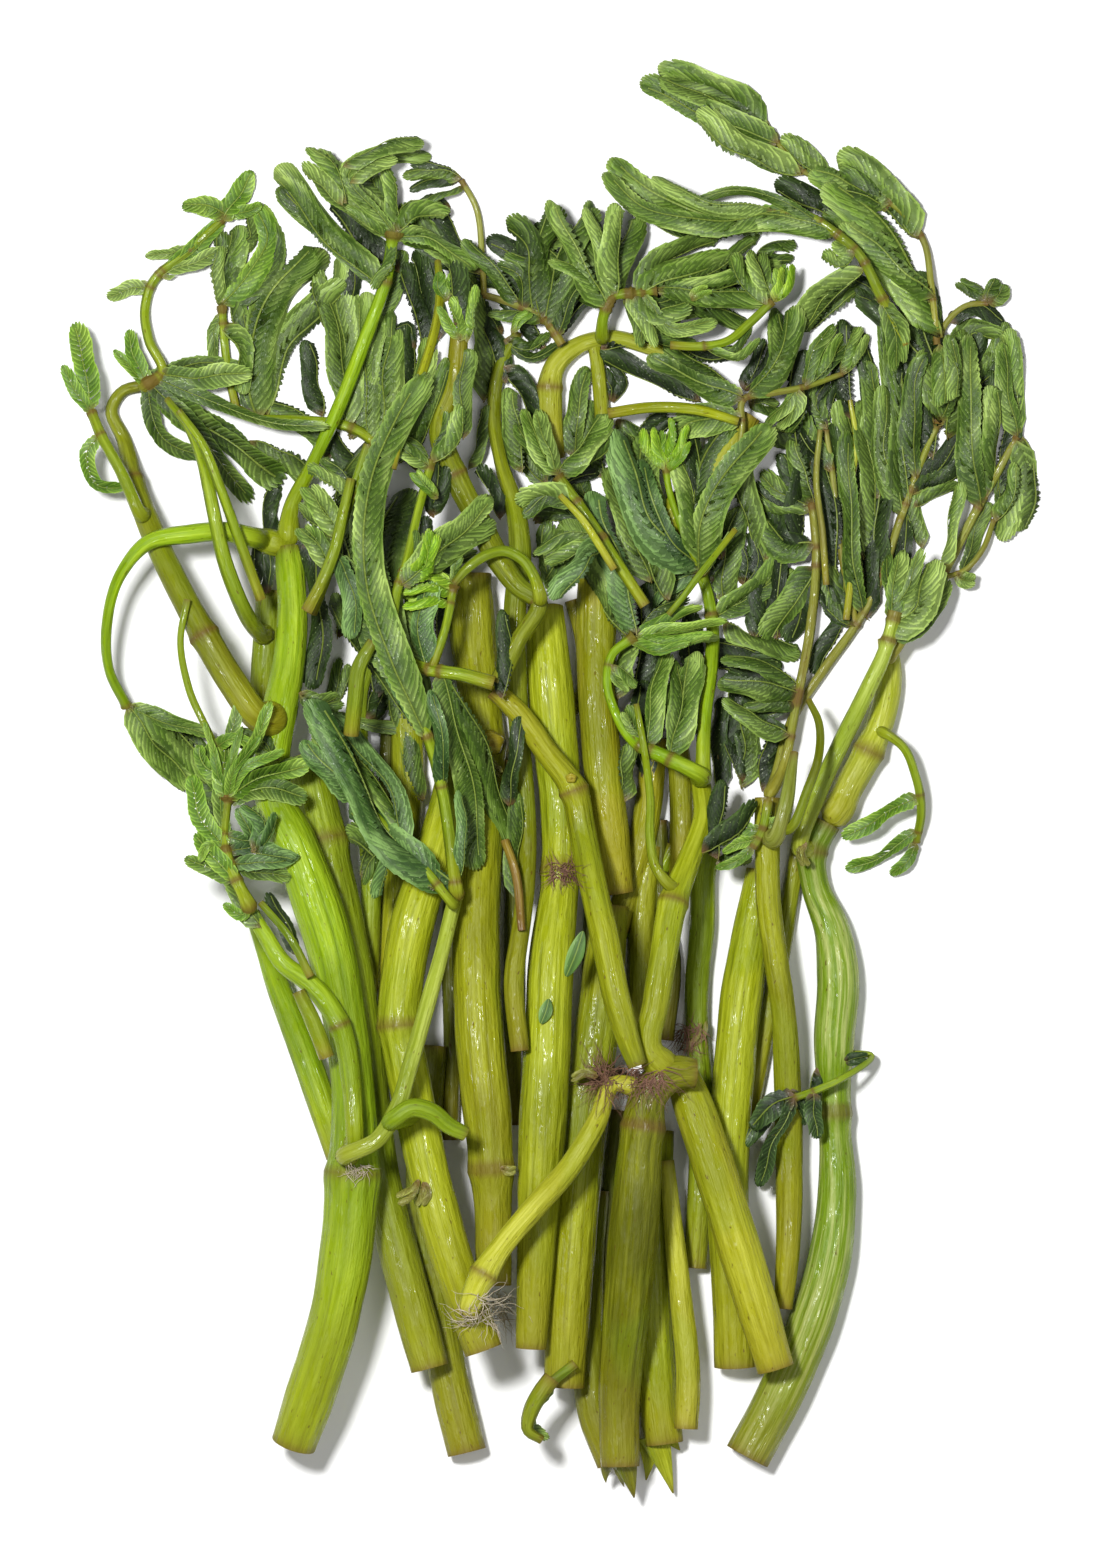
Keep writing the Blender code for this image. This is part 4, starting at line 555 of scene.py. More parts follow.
                [(228, 800, 1.6), (216, 748, 1.5), (190, 688, 1.5), (182, 640, 1.4), (189, 600, 1.4)]],
        blades=[(4.2, 238, 880, 216, 855, 197, 833), (4.2, 228, 850, 205, 818, 192, 775),
                (4.6, 228, 800, 224, 772, 224, 738), (5.2, 229, 798, 268, 772, 311, 765),
                (3, 230, 850, 262, 842, 276, 815), (3.4, 232, 862, 268, 862, 301, 855),
                (3.4, 228, 798, 252, 745, 273, 702), (4, 222, 775, 205, 765, 200, 745)],
        upper=[(2.2, 229, 800, 252, 765, 286, 750), (2.2, 229, 800, 240, 762, 262, 735),
               (2, 228, 798, 216, 760, 206, 722), (2, 228, 798, 232, 760, 244, 726),
               (2.4, 228, 850, 208, 846, 202, 862), (3.4, 228, 835, 250, 838, 239, 808),
               (3, 216, 748, 240, 738, 258, 750), (2.6, 250, 905, 243, 915, 225, 903)]),
    "leaf_long_strap": dict(look="sage", grows_from="branch_slim_left",
        stalks=[[(456, 892, 2.8), (451, 845, 2.6), (442, 787, 2.4), (428, 737, 2.2), (400, 680, 2)],
                [(400, 680, 2), (394, 640, 2), (397, 595, 2), (408, 560, 2), (418, 515, 1.8),
                 (432, 462, 1.8)]],
        blades=[(4.4, 428, 737, 388, 645, 360, 560), (8, 400, 680, 362, 570, 373, 472),
                (5.4, 394, 652, 372, 500, 416, 420), (5.6, 400, 585, 442, 545, 491, 498),
                (4.6, 404, 575, 425, 570, 436, 530), (3.6, 430, 470, 408, 452, 385, 442),
                (3.8, 432, 462, 455, 435, 460, 405)],
        upper=[(6.4, 432, 735, 398, 655, 376, 580, 371, 525, 378, 470, 402, 418, 430, 375),
               (7, 440, 895, 412, 862, 382, 832, 358, 790, 335, 748, 310, 700),
               (3.4, 442, 787, 440, 740, 430, 690), (2.6, 455, 885, 462, 840, 458, 790)]),
    "leaf_broad_left": dict(grows_from="branch_slim_left",
        stalks=[[(452, 902, 2), (420, 862, 1.8), (385, 825, 1.8), (352, 793, 1.6)]],
        blades=[(6, 440, 888, 398, 842, 354, 800), (8, 358, 798, 332, 762, 304, 728),
                (3.6, 410, 852, 385, 770, 325, 713), (2.8, 400, 842, 385, 860, 374, 898)]),
    "leaf_middle_left": dict(
        stalks=[[(312, 614, 2.4), (330, 570, 2.2), (345, 520, 2), (369, 446, 2)]],
        blades=[(5, 340, 540, 322, 505, 303, 480), (4.8, 330, 570, 318, 545, 300, 525),
                (4, 336, 555, 350, 590, 352, 640), (3.4, 352, 498, 332, 478, 309, 466)]),
    "leaf_low_right": dict(look="dusk", grows_from="stem_far_right", feathery=True, companions=(),
        stalks=[[(871, 1055, 1.2), (845, 1076, 1.4), (815, 1090, 1.6), (792, 1098, 1.6)]],
        blades=[(5.4, 795, 1097, 775, 1105, 751, 1128), (3.4, 794, 1098, 772, 1142, 758, 1186),
                (3.6, 812, 1091, 813, 1112, 816, 1138)]),
    "leaf_low_curl": dict(feathery=True, companions=(),
        stalks=[[(575, 1362, 2), (552, 1380, 2)]],
        blades=[(3.4, 553, 1380, 536, 1402, 528, 1424, 549, 1437)]),
    "leaf_right_curl": dict(look="fresh", grows_from="branch_right_upper", feathery=True, companions=(),
        stalks=[[(886, 734, 1.8), (902, 746, 1.8), (915, 775, 1.8), (921, 812, 1.8), (916, 842, 1.6)]],
        blades=[(3.8, 920, 795, 885, 815, 841, 837), (3, 918, 830, 880, 855, 845, 870),
                (2.6, 916, 842, 907, 860, 890, 875)]),
    "leaf_small_right": dict(look="fresh", feathery=True, companions=(),
        stalks=[[(768, 800, 2), (762, 830, 2), (752, 848, 1.8)]],
        blades=[(3, 762, 830, 738, 830, 718, 845), (2.4, 754, 846, 736, 862, 715, 868),
                (2.6, 764, 826, 775, 822, 790, 819), (2.6, 758, 838, 735, 845, 722, 852)]),
    "leaf_right_dark": dict(look="deep", stalk_look="tan", meets="stem_right_slim",
        stalks=[[(782, 770, 2.8), (797, 700, 2.8), (812, 615, 2.8), (816, 555, 2.6), (812, 503, 2.4)]],
        blades=[(3.8, 812, 505, 785, 492, 761, 471), (3, 813, 508, 780, 513, 745, 495),
                (5.4, 815, 565, 788, 602, 764, 640), (5, 816, 548, 780, 548, 752, 512),
                (3.6, 799, 690, 756, 664, 720, 660), (4.8, 798, 696, 750, 690, 717, 683),
                (3, 797, 704, 770, 707, 743, 706), (3.8, 790, 738, 752, 722, 722, 699),
                (4.4, 812, 505, 795, 470, 790, 440)]),
    "leaf_bright_right": dict(look="sage", stalk_look="sap", grows_from="stem_far_right",
        stalks=[[(800, 847, 3.4), (817, 795, 3.6), (840, 745, 3.6), (866, 692, 3.4), (885, 650, 3),
                 (895, 612, 2.6)]],
        blades=[(6, 893, 620, 904, 590, 911, 545), (5.2, 888, 640, 925, 607, 938, 560),
                (2.6, 895, 612, 915, 575, 922, 548)]),
}

# Leaves that lie low beneath the others, or on top of them: their pinnae as above, and the share of them
# in the darker finish, a painted shade. The low ones also stand for the shade in the gaps of the bunch
LOOSE_PINNAE = {
    "back_leaf_top_left": dict(look="deep", shaded=0.6,
        blades=[(5, 308, 540, 318, 600, 312, 690), (3.6, 275, 545, 268, 510, 278, 482),
                (3.4, 425, 590, 424, 552, 426, 515), (3.6, 330, 330, 322, 300, 318, 268),
                (5, 352, 440, 370, 370, 372, 300), (4.4, 330, 460, 300, 420, 262, 405),
                (4.2, 320, 418, 312, 380, 304, 340), (4.6, 400, 420, 405, 380, 408, 325),
                (4, 350, 470, 378, 440, 420, 430), (4, 345, 318, 350, 280, 352, 245),
                (4.6, 385, 500, 352, 470, 330, 430), (3.6, 256, 400, 250, 350, 255, 300),
                (4.2, 420, 470, 398, 430, 392, 380), (4, 372, 330, 392, 290, 404, 250),
                (4.4, 432, 356, 422, 310, 406, 262), (4.2, 442, 340, 432, 300, 416, 250),
                (3.6, 412, 350, 404, 326, 394, 334), (5, 402, 270, 370, 240, 334, 198),
                (3.2, 240, 252, 256, 235, 250, 208), (4, 300, 692, 320, 706, 346, 700),
                (4, 330, 706, 338, 682, 346, 655), (4.2, 266, 594, 264, 568, 262, 542),
                (4.4, 368, 720, 378, 705, 384, 690), (3.2, 470, 310, 462, 280, 448, 250)]),
    "back_leaf_top_middle": dict(look="deep", shaded=0.6,
        blades=[(4.2, 465, 440, 464, 400, 470, 350), (3, 470, 470, 480, 445, 488, 405),
                (4.2, 458, 330, 462, 300, 455, 262), (3.4, 440, 320, 438, 285, 430, 250),
                (4.6, 505, 365, 525, 390, 540, 430), (3.4, 545, 350, 525, 325, 500, 300),
                (3.4, 600, 348, 630, 338, 664, 342), (5, 480, 402, 486, 350, 476, 290),
                (4.4, 505, 338, 530, 352, 558, 338), (4.6, 572, 458, 574, 410, 586, 366),
                (4, 612, 402, 618, 382, 606, 360), (4.8, 432, 518, 438, 490, 442, 458),
                (3.4, 502, 520, 494, 492, 480, 464), (4.4, 742, 390, 758, 365, 772, 335),
                (4.6, 756, 262, 774, 250, 798, 252), (4, 590, 500, 580, 484, 572, 470),
                (4.2, 556, 280, 545, 255, 530, 230), (4.4, 590, 284, 600, 256, 604, 222),
                (4.2, 640, 300, 690, 290, 742, 282), (4, 660, 330, 700, 350, 742, 352),
                (4, 520, 300, 500, 280, 470, 275), (3.6, 450, 210, 430, 200, 412, 214),
                (4, 480, 300, 452, 262, 420, 240), (4.6, 520, 474, 510, 430, 508, 388),
                (4.2, 548, 484, 524, 455, 510, 412), (3.8, 508, 384, 496, 342, 480, 300),
                (4, 502, 334, 482, 312, 464, 300), (4.4, 702, 400, 650, 374, 600, 350),
                (4, 638, 442, 652, 426, 674, 414), (4.4, 616, 420, 640, 440, 660, 450),
                (3.8, 748, 400, 764, 404, 782, 410)]),
    "back_leaf_right": dict(look="deep", shaded=0.6,
        blades=[(5.2, 790, 560, 800, 500, 805, 420), (4.4, 775, 640, 775, 590, 780, 540),
                (5.2, 860, 560, 850, 490, 838, 400), (5, 878, 500, 872, 440, 868, 360),
                (5, 900, 520, 898, 440, 890, 350), (5, 830, 590, 826, 520, 815, 440),
                (4.8, 930, 460, 922, 400, 900, 340), (4.8, 810, 470, 800, 410, 806, 350),
                (4.6, 870, 620, 868, 560, 880, 500), (4.6, 770, 560, 750, 510, 740, 450),
                (4.6, 760, 430, 790, 440, 830, 420), (4.8, 950, 440, 960, 390, 962, 330),
                (4.6, 975, 480, 985, 430, 990, 370), (4.4, 1000, 500, 1010, 460, 1012, 400),
                (4.6, 720, 560, 700, 500, 690, 430), (4.6, 850, 420, 840, 370, 842, 320),
                (4.4, 905, 600, 900, 560, 905, 510), (4, 950, 346, 976, 326, 1006, 338),
                (3, 912, 506, 935, 493, 958, 483), (3.6, 806, 330, 830, 305, 858, 286),
                (4.4, 742, 585, 748, 560, 744, 532), (5, 862, 236, 820, 202, 775, 180),
                (4, 882, 302, 862, 286, 844, 276), (3.6, 948, 322, 975, 308, 1004, 326),
                (3.4, 925, 548, 915, 520, 912, 488), (3, 962, 578, 975, 540, 990, 502),
                (4.6, 720, 626, 760, 642, 800, 656), (4, 704, 642, 740, 652, 782, 668),
                (3.4, 846, 612, 826, 640, 812, 674)]),
    "back_leaf_centre": dict(look="deep", shaded=0.6,
        blades=[(5, 590, 542, 562, 548, 535, 562), (4.6, 560, 590, 548, 560, 548, 520),
                (5, 640, 700, 650, 640, 652, 580), (5, 690, 740, 696, 680, 690, 610),
                (4.6, 720, 760, 735, 700, 740, 640), (4.6, 650, 780, 640, 730, 645, 680),
                (4.6, 745, 790, 752, 740, 745, 680), (5, 670, 600, 650, 540, 640, 470),
                (4.4, 600, 480, 588, 440, 590, 400), (4.6, 750, 640, 760, 600, 752, 540),
                (4.4, 700, 850, 730, 830, 755, 800), (4.2, 715, 860, 712, 820, 722, 780),
                (4.4, 540, 510, 560, 480, 600, 470), (4.4, 700, 660, 740, 660, 776, 660),
                (5, 650, 584, 626, 530, 606, 468), (4.2, 534, 522, 560, 510, 592, 526),
                (5, 726, 602, 728, 560, 742, 506), (4.4, 716, 584, 712, 560, 724, 526),
                (4.2, 722, 792, 718, 740, 722, 698), (4.4, 744, 782, 738, 750, 726, 718),
                (3.8, 765, 792, 768, 762, 776, 734), (3.8, 628, 802, 628, 772, 630, 742),
                (4.6, 620, 700, 622, 670, 634, 630), (4, 716, 866, 736, 856, 756, 850)]),
    "back_leaf_middle_left": dict(look="deep", shaded=0.6,
        blades=[(3, 322, 716, 362, 721, 414, 734), (3, 436, 742, 425, 700, 404, 615),
                (4.6, 425, 800, 405, 740, 400, 660), (4.4, 340, 640, 352, 590, 350, 530),
                (4.4, 380, 700, 372, 640, 360, 590), (4.4, 440, 640, 448, 590, 440, 530),
                (4.2, 330, 740, 350, 780, 380, 820), (4.2, 365, 880, 372, 840, 368, 790),
                (4.2, 455, 860, 470, 820, 466, 770), (4.2, 410, 580, 440, 560, 478, 552),
                (4, 516, 902, 514, 850, 516, 790), (4, 508, 806, 512, 762, 520, 716),
                (3.6, 500, 700, 504, 660, 502, 610), (3.4, 300, 958, 285, 926, 268, 892)]),
    "crown_left_top": dict(look="sage", on_top=True,
        blades=[(5, 345, 205, 324, 172, 300, 150), (3.6, 344, 170, 380, 150, 424, 144),
                (3, 352, 186, 372, 168, 398, 160)]),
    "left_curls": dict(look="blue", on_top=True,
        blades=[(3, 252, 848, 262, 826, 242, 806), (2.8, 253, 850, 268, 835, 276, 812),
                (3, 252, 850, 274, 849, 298, 857)]),
    "shoot_buds": dict(look="fresh", on_top=True,
        blades=[(3, 462, 344, 462, 320, 452, 298), (2.6, 466, 344, 470, 314, 476, 286),
                (2.4, 460, 342, 448, 326, 438, 308), (4.6, 450, 302, 447, 288, 446, 272),
                (2.4, 512, 334, 520, 318, 532, 312), (3.2, 438, 500, 424, 484, 412, 470),
                (2.6, 690, 300, 700, 292, 712, 288)]),
    "node_bracts": dict(look="husk", on_top=True,
        blades=[(2.2, 486, 756, 494, 766, 502, 776), (2.6, 420, 1178, 410, 1192, 396, 1200),
                (2.4, 424, 1180, 426, 1192, 420, 1206), (2, 500, 1166, 510, 1170, 518, 1168),
                (2, 598, 1076, 586, 1072, 570, 1078), (2, 690, 1046, 700, 1036, 704, 1020),
                (2.2, 806, 842, 800, 854, 806, 868)]),
    "back_leaf_left": dict(look="deep",
        blades=[(5, 150, 390, 185, 410, 276, 482), (4.6, 248, 444, 285, 462, 312, 482),
                (4.4, 142, 383, 180, 370, 254, 372), (4.2, 240, 330, 232, 280, 240, 225),
                (4, 210, 760, 190, 740, 165, 722), (4.2, 230, 800, 200, 780, 185, 750),
                (4, 240, 860, 222, 830, 205, 800), (4, 280, 760, 262, 740, 232, 735),
                (4, 250, 780, 285, 768, 312, 760), (4, 262, 930, 240, 900, 226, 872)]),
    "back_leaf_low_right": dict(look="dusk",
        blades=[(3.2, 772, 1100, 762, 1122, 746, 1146), (3.2, 770, 1135, 766, 1160, 758, 1186),
                (3, 818, 1068, 812, 1096, 803, 1125), (2.6, 788, 1090, 800, 1100, 808, 1118),
                (2.6, 840, 1062, 856, 1058, 870, 1056)]),
}

# Spots where pinnae have another colour: picture x, picture y, reach in pixels and finish
LOOK_SPOTS = [
    (225, 205, 64, "fresh"), (200, 440, 60, "deep"), (160, 380, 40, "fresh"), (426, 592, 22, "bud"),
    (674, 448, 24, "bud"), (790, 292, 24, "bud"), (704, 640, 50, "fresh"), (718, 480, 40, "sage"),
    (380, 620, 60, "blue"), (330, 770, 60, "blue"), (410, 850, 60, "blue"), (450, 700, 60, "blue"),
    (640, 560, 70, "blue"), (272, 842, 34, "blue"),
]

# Root tufts: picture x and y, half spread in pixels, count, finish, then aim and scatter in degrees and
# length in millimetres of the hairs
ROOT_TUFTS = [
    ("root_tuft_middle", 630, 1074, 32, 8, 190, "root_brown", -95, 42, 9.0),
    ("root_tuft_left_of_middle", 606, 1074, 10, 10, 70, "root_brown", 150, 60, 7.5),
    ("root_tuft_centre", 563, 870, 12, 8, 70, "root_brown", -80, 70, 5.0),
    ("root_tuft_low", 490, 1306, 16, 16, 70, "root_pale", -60, 60, 8.0),
    ("root_tuft_fork", 690, 1036, 12, 14, 60, "root_brown", -110, 60, 6.0),
    ("root_tuft_low_small", 470, 1316, 8, 8, 24, "root_pale", 170, 60, 6.0),
    ("root_tuft_branch", 358, 1166, 12, 6, 30, "root_pale", -70, 50, 4.0),
]

# Resting buds on nodes: picture x, picture y and width in millimetres
NODE_BUDS = [(490, 743, 5.6), (571, 778, 2.2)]

# Loose leaflets lying on the stems: width in millimetres, then three picture points of the axis
LOOSE_LEAFLETS = [(3.3, 583, 930, 576, 952, 566, 976), (2.7, 549, 998, 546, 1010, 541, 1023)]

# Colours on a screen, 0 to 255: the main one, the lit one and the shaded one
STEM_COLOURS = {
    "bright": ((126, 162, 12), (164, 194, 42), (70, 102, 4)),
    "lime": ((147, 157, 20), (180, 189, 52), (96, 105, 8)),
    "olive": ((131, 138, 14), (162, 170, 40), (80, 87, 6)),
    "moss": ((108, 118, 12), (138, 148, 34), (64, 72, 4)),
    "leafy": ((116, 140, 16), (152, 174, 46), (62, 84, 6)),
    "yellow": ((156, 158, 24), (186, 188, 60), (108, 110, 12)),
    "straw": ((176, 180, 46), (206, 208, 92), (128, 132, 22)),
    "gold": ((137, 137, 18), (166, 165, 42), (88, 86, 8)),
    "dark": ((104, 108, 10), (132, 136, 28), (58, 62, 4)),
    "pale": ((162, 170, 44), (198, 202, 92), (112, 122, 18)),
    "sap": ((146, 166, 50), (188, 204, 100), (96, 120, 22)),
    "tan": ((122, 130, 50), (164, 172, 92), (96, 78, 36)),
    # Painted shade: the nearly black finish of low stalks that fill the gaps between the stems
    "under": ((58, 70, 14), (88, 100, 26), (28, 34, 8)),
    "bud_skin": ((150, 136, 34), (186, 178, 84), (112, 90, 20)),
    "rust": ((122, 96, 40), (154, 136, 66), (84, 54, 28)),
    "weathered": ((108, 138, 22), (182, 190, 116), (62, 90, 12)),
}
LEAF_COLOURS = {
    "sage": ((112, 146, 48), (186, 212, 112), (38, 60, 14)),
    "deep": ((82, 112, 30), (148, 176, 82), (22, 38, 8)),
    "blue": ((86, 124, 50), (146, 182, 104), (24, 48, 16)),
    "shade": ((42, 62, 18), (74, 98, 40), (12, 22, 5)),
    "fresh": ((118, 160, 40), (182, 214, 92), (46, 76, 12)),
    "bud": ((142, 188, 26), (206, 232, 90), (70, 108, 6)),
    "dusk": ((40, 64, 24), (84, 112, 54), (12, 24, 6)),
    "husk": ((132, 138, 46), (184, 188, 100), (84, 70, 28)),
}
# Root hairs: at their start and at their tip
HAIR_COLOURS = {
    "root_brown": ((86, 54, 44), (150, 112, 88)),
    "root_pale": ((150, 132, 104), (222, 212, 190)),
}
# Single tints of skin, pith and pinnae
GREEN_PATCH = (108, 134, 18)
OCHRE_BASE = (146, 136, 30)
OCHRE_TINT = (150, 138, 36)
SPECK_BROWN = (84, 60, 20)
SCAR_BROWN = (94, 60, 32)
PITH_DARK = (150, 138, 72)
PITH_PALE = (206, 200, 140)
PITH_RIM = (120, 96, 48)
RIB_GREEN = (150, 168, 70)
# Painted highlight: the pale glint on the wet spots of pinnae
GLINT_PALE = (196, 214, 150)
BASE_BROWN = (112, 78, 42)
# The finish of a pinna that lies beneath one with another finish: a darker one, as painted shade
DARKER = {"sage": "deep", "blue": "deep", "deep": "shade", "fresh": "sage", "bud": "fresh", "dusk": "dusk"}


def plan(x, y):
    """Picture pixels to millimetres on the floor, +Y towards the leafy end."""
    return np.array([(x - PLAN_CENTRE_X) * PIXEL_MM, (PLAN_CENTRE_Y - y) * PIXEL_MM])


def plan_points(entry):
    """The places of an entry that holds a width, then picture x and y of each point."""
    return [plan(x, y) for x, y in zip(entry[1::2], entry[2::2])]


def side_vectors(centres):
    """Unit vectors across a route, one for each of its points."""
    ahead = np.diff(centres, axis=0)
    ahead /= np.linalg.norm(ahead, axis=1)[:, None]
    along = np.vstack([ahead[:1], ahead[:-1] + ahead[1:], ahead[-1:]])
    along /= np.linalg.norm(along, axis=1)[:, None]
    return np.column_stack([-along[:, 1], along[:, 0]])


class Strip:
    """One tube or blade: rings along a route, each with a half width and a half thickness."""

    def __init__(self, centres, half_widths, half_thicknesses, sides):
        self.centres = np.array(centres, dtype=float)
        self.half_widths = np.array(half_widths, dtype=float)
        self.half_thicknesses = np.array(half_thicknesses, dtype=float)
        self.sides = sides
        self.across = side_vectors(self.centres)
        lengths = np.linalg.norm(np.diff(self.centres, axis=0), axis=1)
        self.stations = np.concatenate([[0.0], np.cumsum(lengths)])
        self.floor = self.half_thicknesses * self.foot_ratio()
        if sides < STEM_SIDES:
            self.floor += SLIM_LIFT_MM
        self.heights = self.floor.copy()

    def foot_ratio(self):
        """How far the lowest facet lies below the middle, as a share of the half thickness."""
        return math.cos(math.pi / self.sides) if self.sides > 4 else 1.0

    def samples(self, margin):
        """Points over the strip grown by a margin: station, share, x, y and rise over its middle."""
        out = []
        last = len(self.centres) - 2
        for index in range(last + 1):
            start_width = self.half_widths[index] + margin
            end_width = self.half_widths[index + 1] + margin
            length = self.stations[index + 1] - self.stations[index]
            low = -margin / length if index == 0 else 0.0
            high = 1.0 + margin / length if index == last else 1.0
            bend = abs(np.cross(self.across[index], self.across[index + 1]))
            reach = length + bend * max(start_width, end_width)
            count = max(3, int(math.ceil(reach * (high - low) / STEP_MM)) + 1)
            wide = max(3, int(math.ceil(2.0 * max(start_width, end_width) / STEP_MM)) + 1)
            share = np.linspace(low, high, count)[:, None]
            offset = np.linspace(-1.0, 1.0, wide)[None, :]
            middle = self.centres[index] + share[:, :, None] * (self.centres[index + 1] - self.centres[index])
            first = self.across[index] * start_width
            second = self.across[index + 1] * end_width
            side = first + share[:, :, None] * (second - first)
            place = middle + side * offset[:, :, None]
            thick = self.half_thicknesses[index]
            thick = thick + share * (self.half_thicknesses[index + 1] - thick) + margin
            rise = thick * np.sqrt(np.clip(1.0 - offset ** 2, 0.0, 1.0))
            out.append((index, share[:, 0], place, rise))
        return out

    def station_of(self, index, share):
        """Distance along the route for shares of one span."""
        clipped = np.clip(share, 0.0, 1.0)
        return self.stations[index] + clipped * (self.stations[index + 1] - self.stations[index])


class HeightMap:
    """How high the heap is over each cell of the floor, in millimetres."""

    def __init__(self):
        self.columns = int(2 * MAP_HALF_X_MM / CELL_MM)
        self.rows = int(2 * MAP_HALF_Y_MM / CELL_MM)
        self.tops = np.zeros((self.rows, self.columns))

    def cells(self, place):
        """The row and column of the cell that a place lies in."""
        column = np.floor((place[..., 0] + MAP_HALF_X_MM) / CELL_MM).astype(int)
        row = np.floor((place[..., 1] + MAP_HALF_Y_MM) / CELL_MM).astype(int)
        return np.clip(row, 0, self.rows - 1), np.clip(column, 0, self.columns - 1)

    def stamp(self, strip, margin, from_station=0.0):
        """Add the top of a laid strip to the map."""
        for index, share, place, rise in strip.samples(margin):
            row, column = self.cells(place)
            middle = strip.heights[index] + share * (strip.heights[index + 1] - strip.heights[index])
            tops = middle[:, None] + rise
            keep = strip.station_of(index, share) >= from_station
            np.maximum.at(self.tops, (row[keep], column[keep]), tops[keep])

    def bounds(self, strip, margin):
        """Lowest middle height that clears the heap, for samples along the strip."""
        stations = []
        lows = []
        for index, share, place, rise in strip.samples(margin):
            row, column = self.cells(place)
            under = self.tops[row, column]
            need = np.where(under > 0.0, under + rise, 0.0).max(axis=1)
            stations.append(strip.station_of(index, share))
            lows.append(need)
        return np.concatenate(stations), np.concatenate(lows)


def settle(strip, stations, lows, bend, soft, start=None):
    """Set ring heights: over every bound, never bent more tightly than the bend radius."""
    total = strip.stations[-1]
    step = SETTLE_STEP_MM
    grid = np.arange(0.0, total + step, step)
    floor_at = np.interp(stations, strip.stations, strip.floor)
    excess = np.maximum(lows - floor_at, 0.0)
    need = np.zeros(len(grid))
    nearest = np.clip(np.round(stations / step).astype(int), 0, len(grid) - 1)
    np.maximum.at(need, nearest, excess)
    if start is not None:
        need[0] = max(need[0], start - strip.floor[0])
    reach = int(math.ceil(soft / step)) + 1
    padded = np.pad(need, reach, mode="edge")
    spread = np.array([padded[k:k + 2 * reach + 1].max() for k in range(len(grid))])
    gaps = grid[:, None] - grid[None, :]
    hump = (spread[None, :] - gaps ** 2 / (2.0 * bend)).max(axis=1)
    hump = np.maximum(hump, 0.0)
    padded = np.pad(hump, reach - 1, mode="edge")
    smooth = np.array([padded[k:k + 2 * reach - 1].mean() for k in range(len(grid))])
    heights = np.interp(strip.stations, grid, smooth)
    if start is not None:
        heights[0] = max(start - strip.floor[0], excess[stations < START_REACH_MM].max())
    for _ in range(SETTLE_ROUNDS):
        worst = excess - np.interp(stations, strip.stations, heights)
        at = int(worst.argmax())
        if worst[at] < SETTLE_NEAR_MM:
            break
        after = np.searchsorted(strip.stations, stations[at], side="right")
        index = int(np.clip(after - 1, 0, len(heights) - 2))
        share = (stations[at] - strip.stations[index]) / (strip.stations[index + 1] - strip.stations[index])
        weight = (1.0 - share) ** 2 + share ** 2
        heights[index] += worst[at] * (1.0 - share) / weight + SETTLE_PAST_MM
        heights[index + 1] += worst[at] * share / weight + SETTLE_PAST_MM
    strip.heights = strip.floor + heights


def height_on(strips, point, stations=False):
    """Nearest place on a set of strips: distance, the place and the height (or station) there."""
    best = (1e9, None, 0.0)
    for strip in strips:
        for index in range(len(strip.centres) - 1):
            first = strip.centres[index]
            span = strip.centres[index + 1] - first
            share = float(np.clip(np.dot(point - first, span) / np.dot(span, span), 0.0, 1.0))
            place = first + share * span
            away = float(np.linalg.norm(point - place))
            if away < best[0]:
                values = strip.stations if stations else strip.heights
                value = values[index] + share * (values[index + 1] - values[index])
                best = (away, place, float(value))
    return best


def stem_strip(route):
    """A round tube from route points of picture x, picture y and diameter."""
    centres = [plan(x, y) for x, y, _ in route]
    radii = [size / 2.0 for _, _, size in route]
    sides = STEM_SIDES if max(radii) * 2.0 > SLIM_STEM_MM else SLIM_SIDES
    if max(radii) * 2.0 < STALK_MM:
        sides = 4
    return Strip(centres, radii, radii, sides)


def blade_strip(entry):
    """A flat spindle of a width through three or more picture points."""
    width = entry[0]
    ends = np.array(plan_points(entry))
    length = float(np.linalg.norm(np.diff(ends, axis=0), axis=1).sum())
    if len(ends) == 3:
        places = [0.0, 0.3, 0.68, 1.0] if length > SHORT_BLADE_MM else [0.0, 0.45, 1.0]
        centres = []
        for t in places:
            first = (1.0 - t) * (1.0 - 2.0 * t)
            middle = 4.0 * t * (1.0 - t)
            last = t * (2.0 * t - 1.0)
            centres.append(first * ends[0] + middle * ends[1] + last * ends[2])
    else:
        centres = list(ends)
    if len(centres) == 3:
        shape = [BLADE_BASE_RATIO, 1.0, BLADE_TIP_RATIO]
    else:
        shape = [BLADE_BASE_RATIO, 1.0, BLADE_SHOULDER_RATIO, BLADE_TIP_RATIO]
        shape = shape[:2] + [BLADE_SHOULDER_RATIO] * (len(centres) - 4) + shape[2:]
    thickness = min(max(width * BLADE_THICKNESS_RATIO, BLADE_THICKNESS_MIN_MM), BLADE_THICKNESS_MAX_MM)
    widths = [width * share / 2.0 for share in shape]
    thicks = [thickness * (0.35 + 0.65 * share) / 2.0 for share in shape]
    return Strip(centres, widths, thicks, 4)


def snapped(strip, others, name):
    """The same strip, starting exactly on the nearest of the others."""
    away, place, _ = height_on(others, strip.centres[0])
    if away > JOIN_REACH_MM:
        raise ValueError(f"{name}: a piece starts {away:.1f} mm off its stalk")
    centres = np.vstack([place, strip.centres[1:]])
    return Strip(centres, strip.half_widths, strip.half_thicknesses, strip.sides)


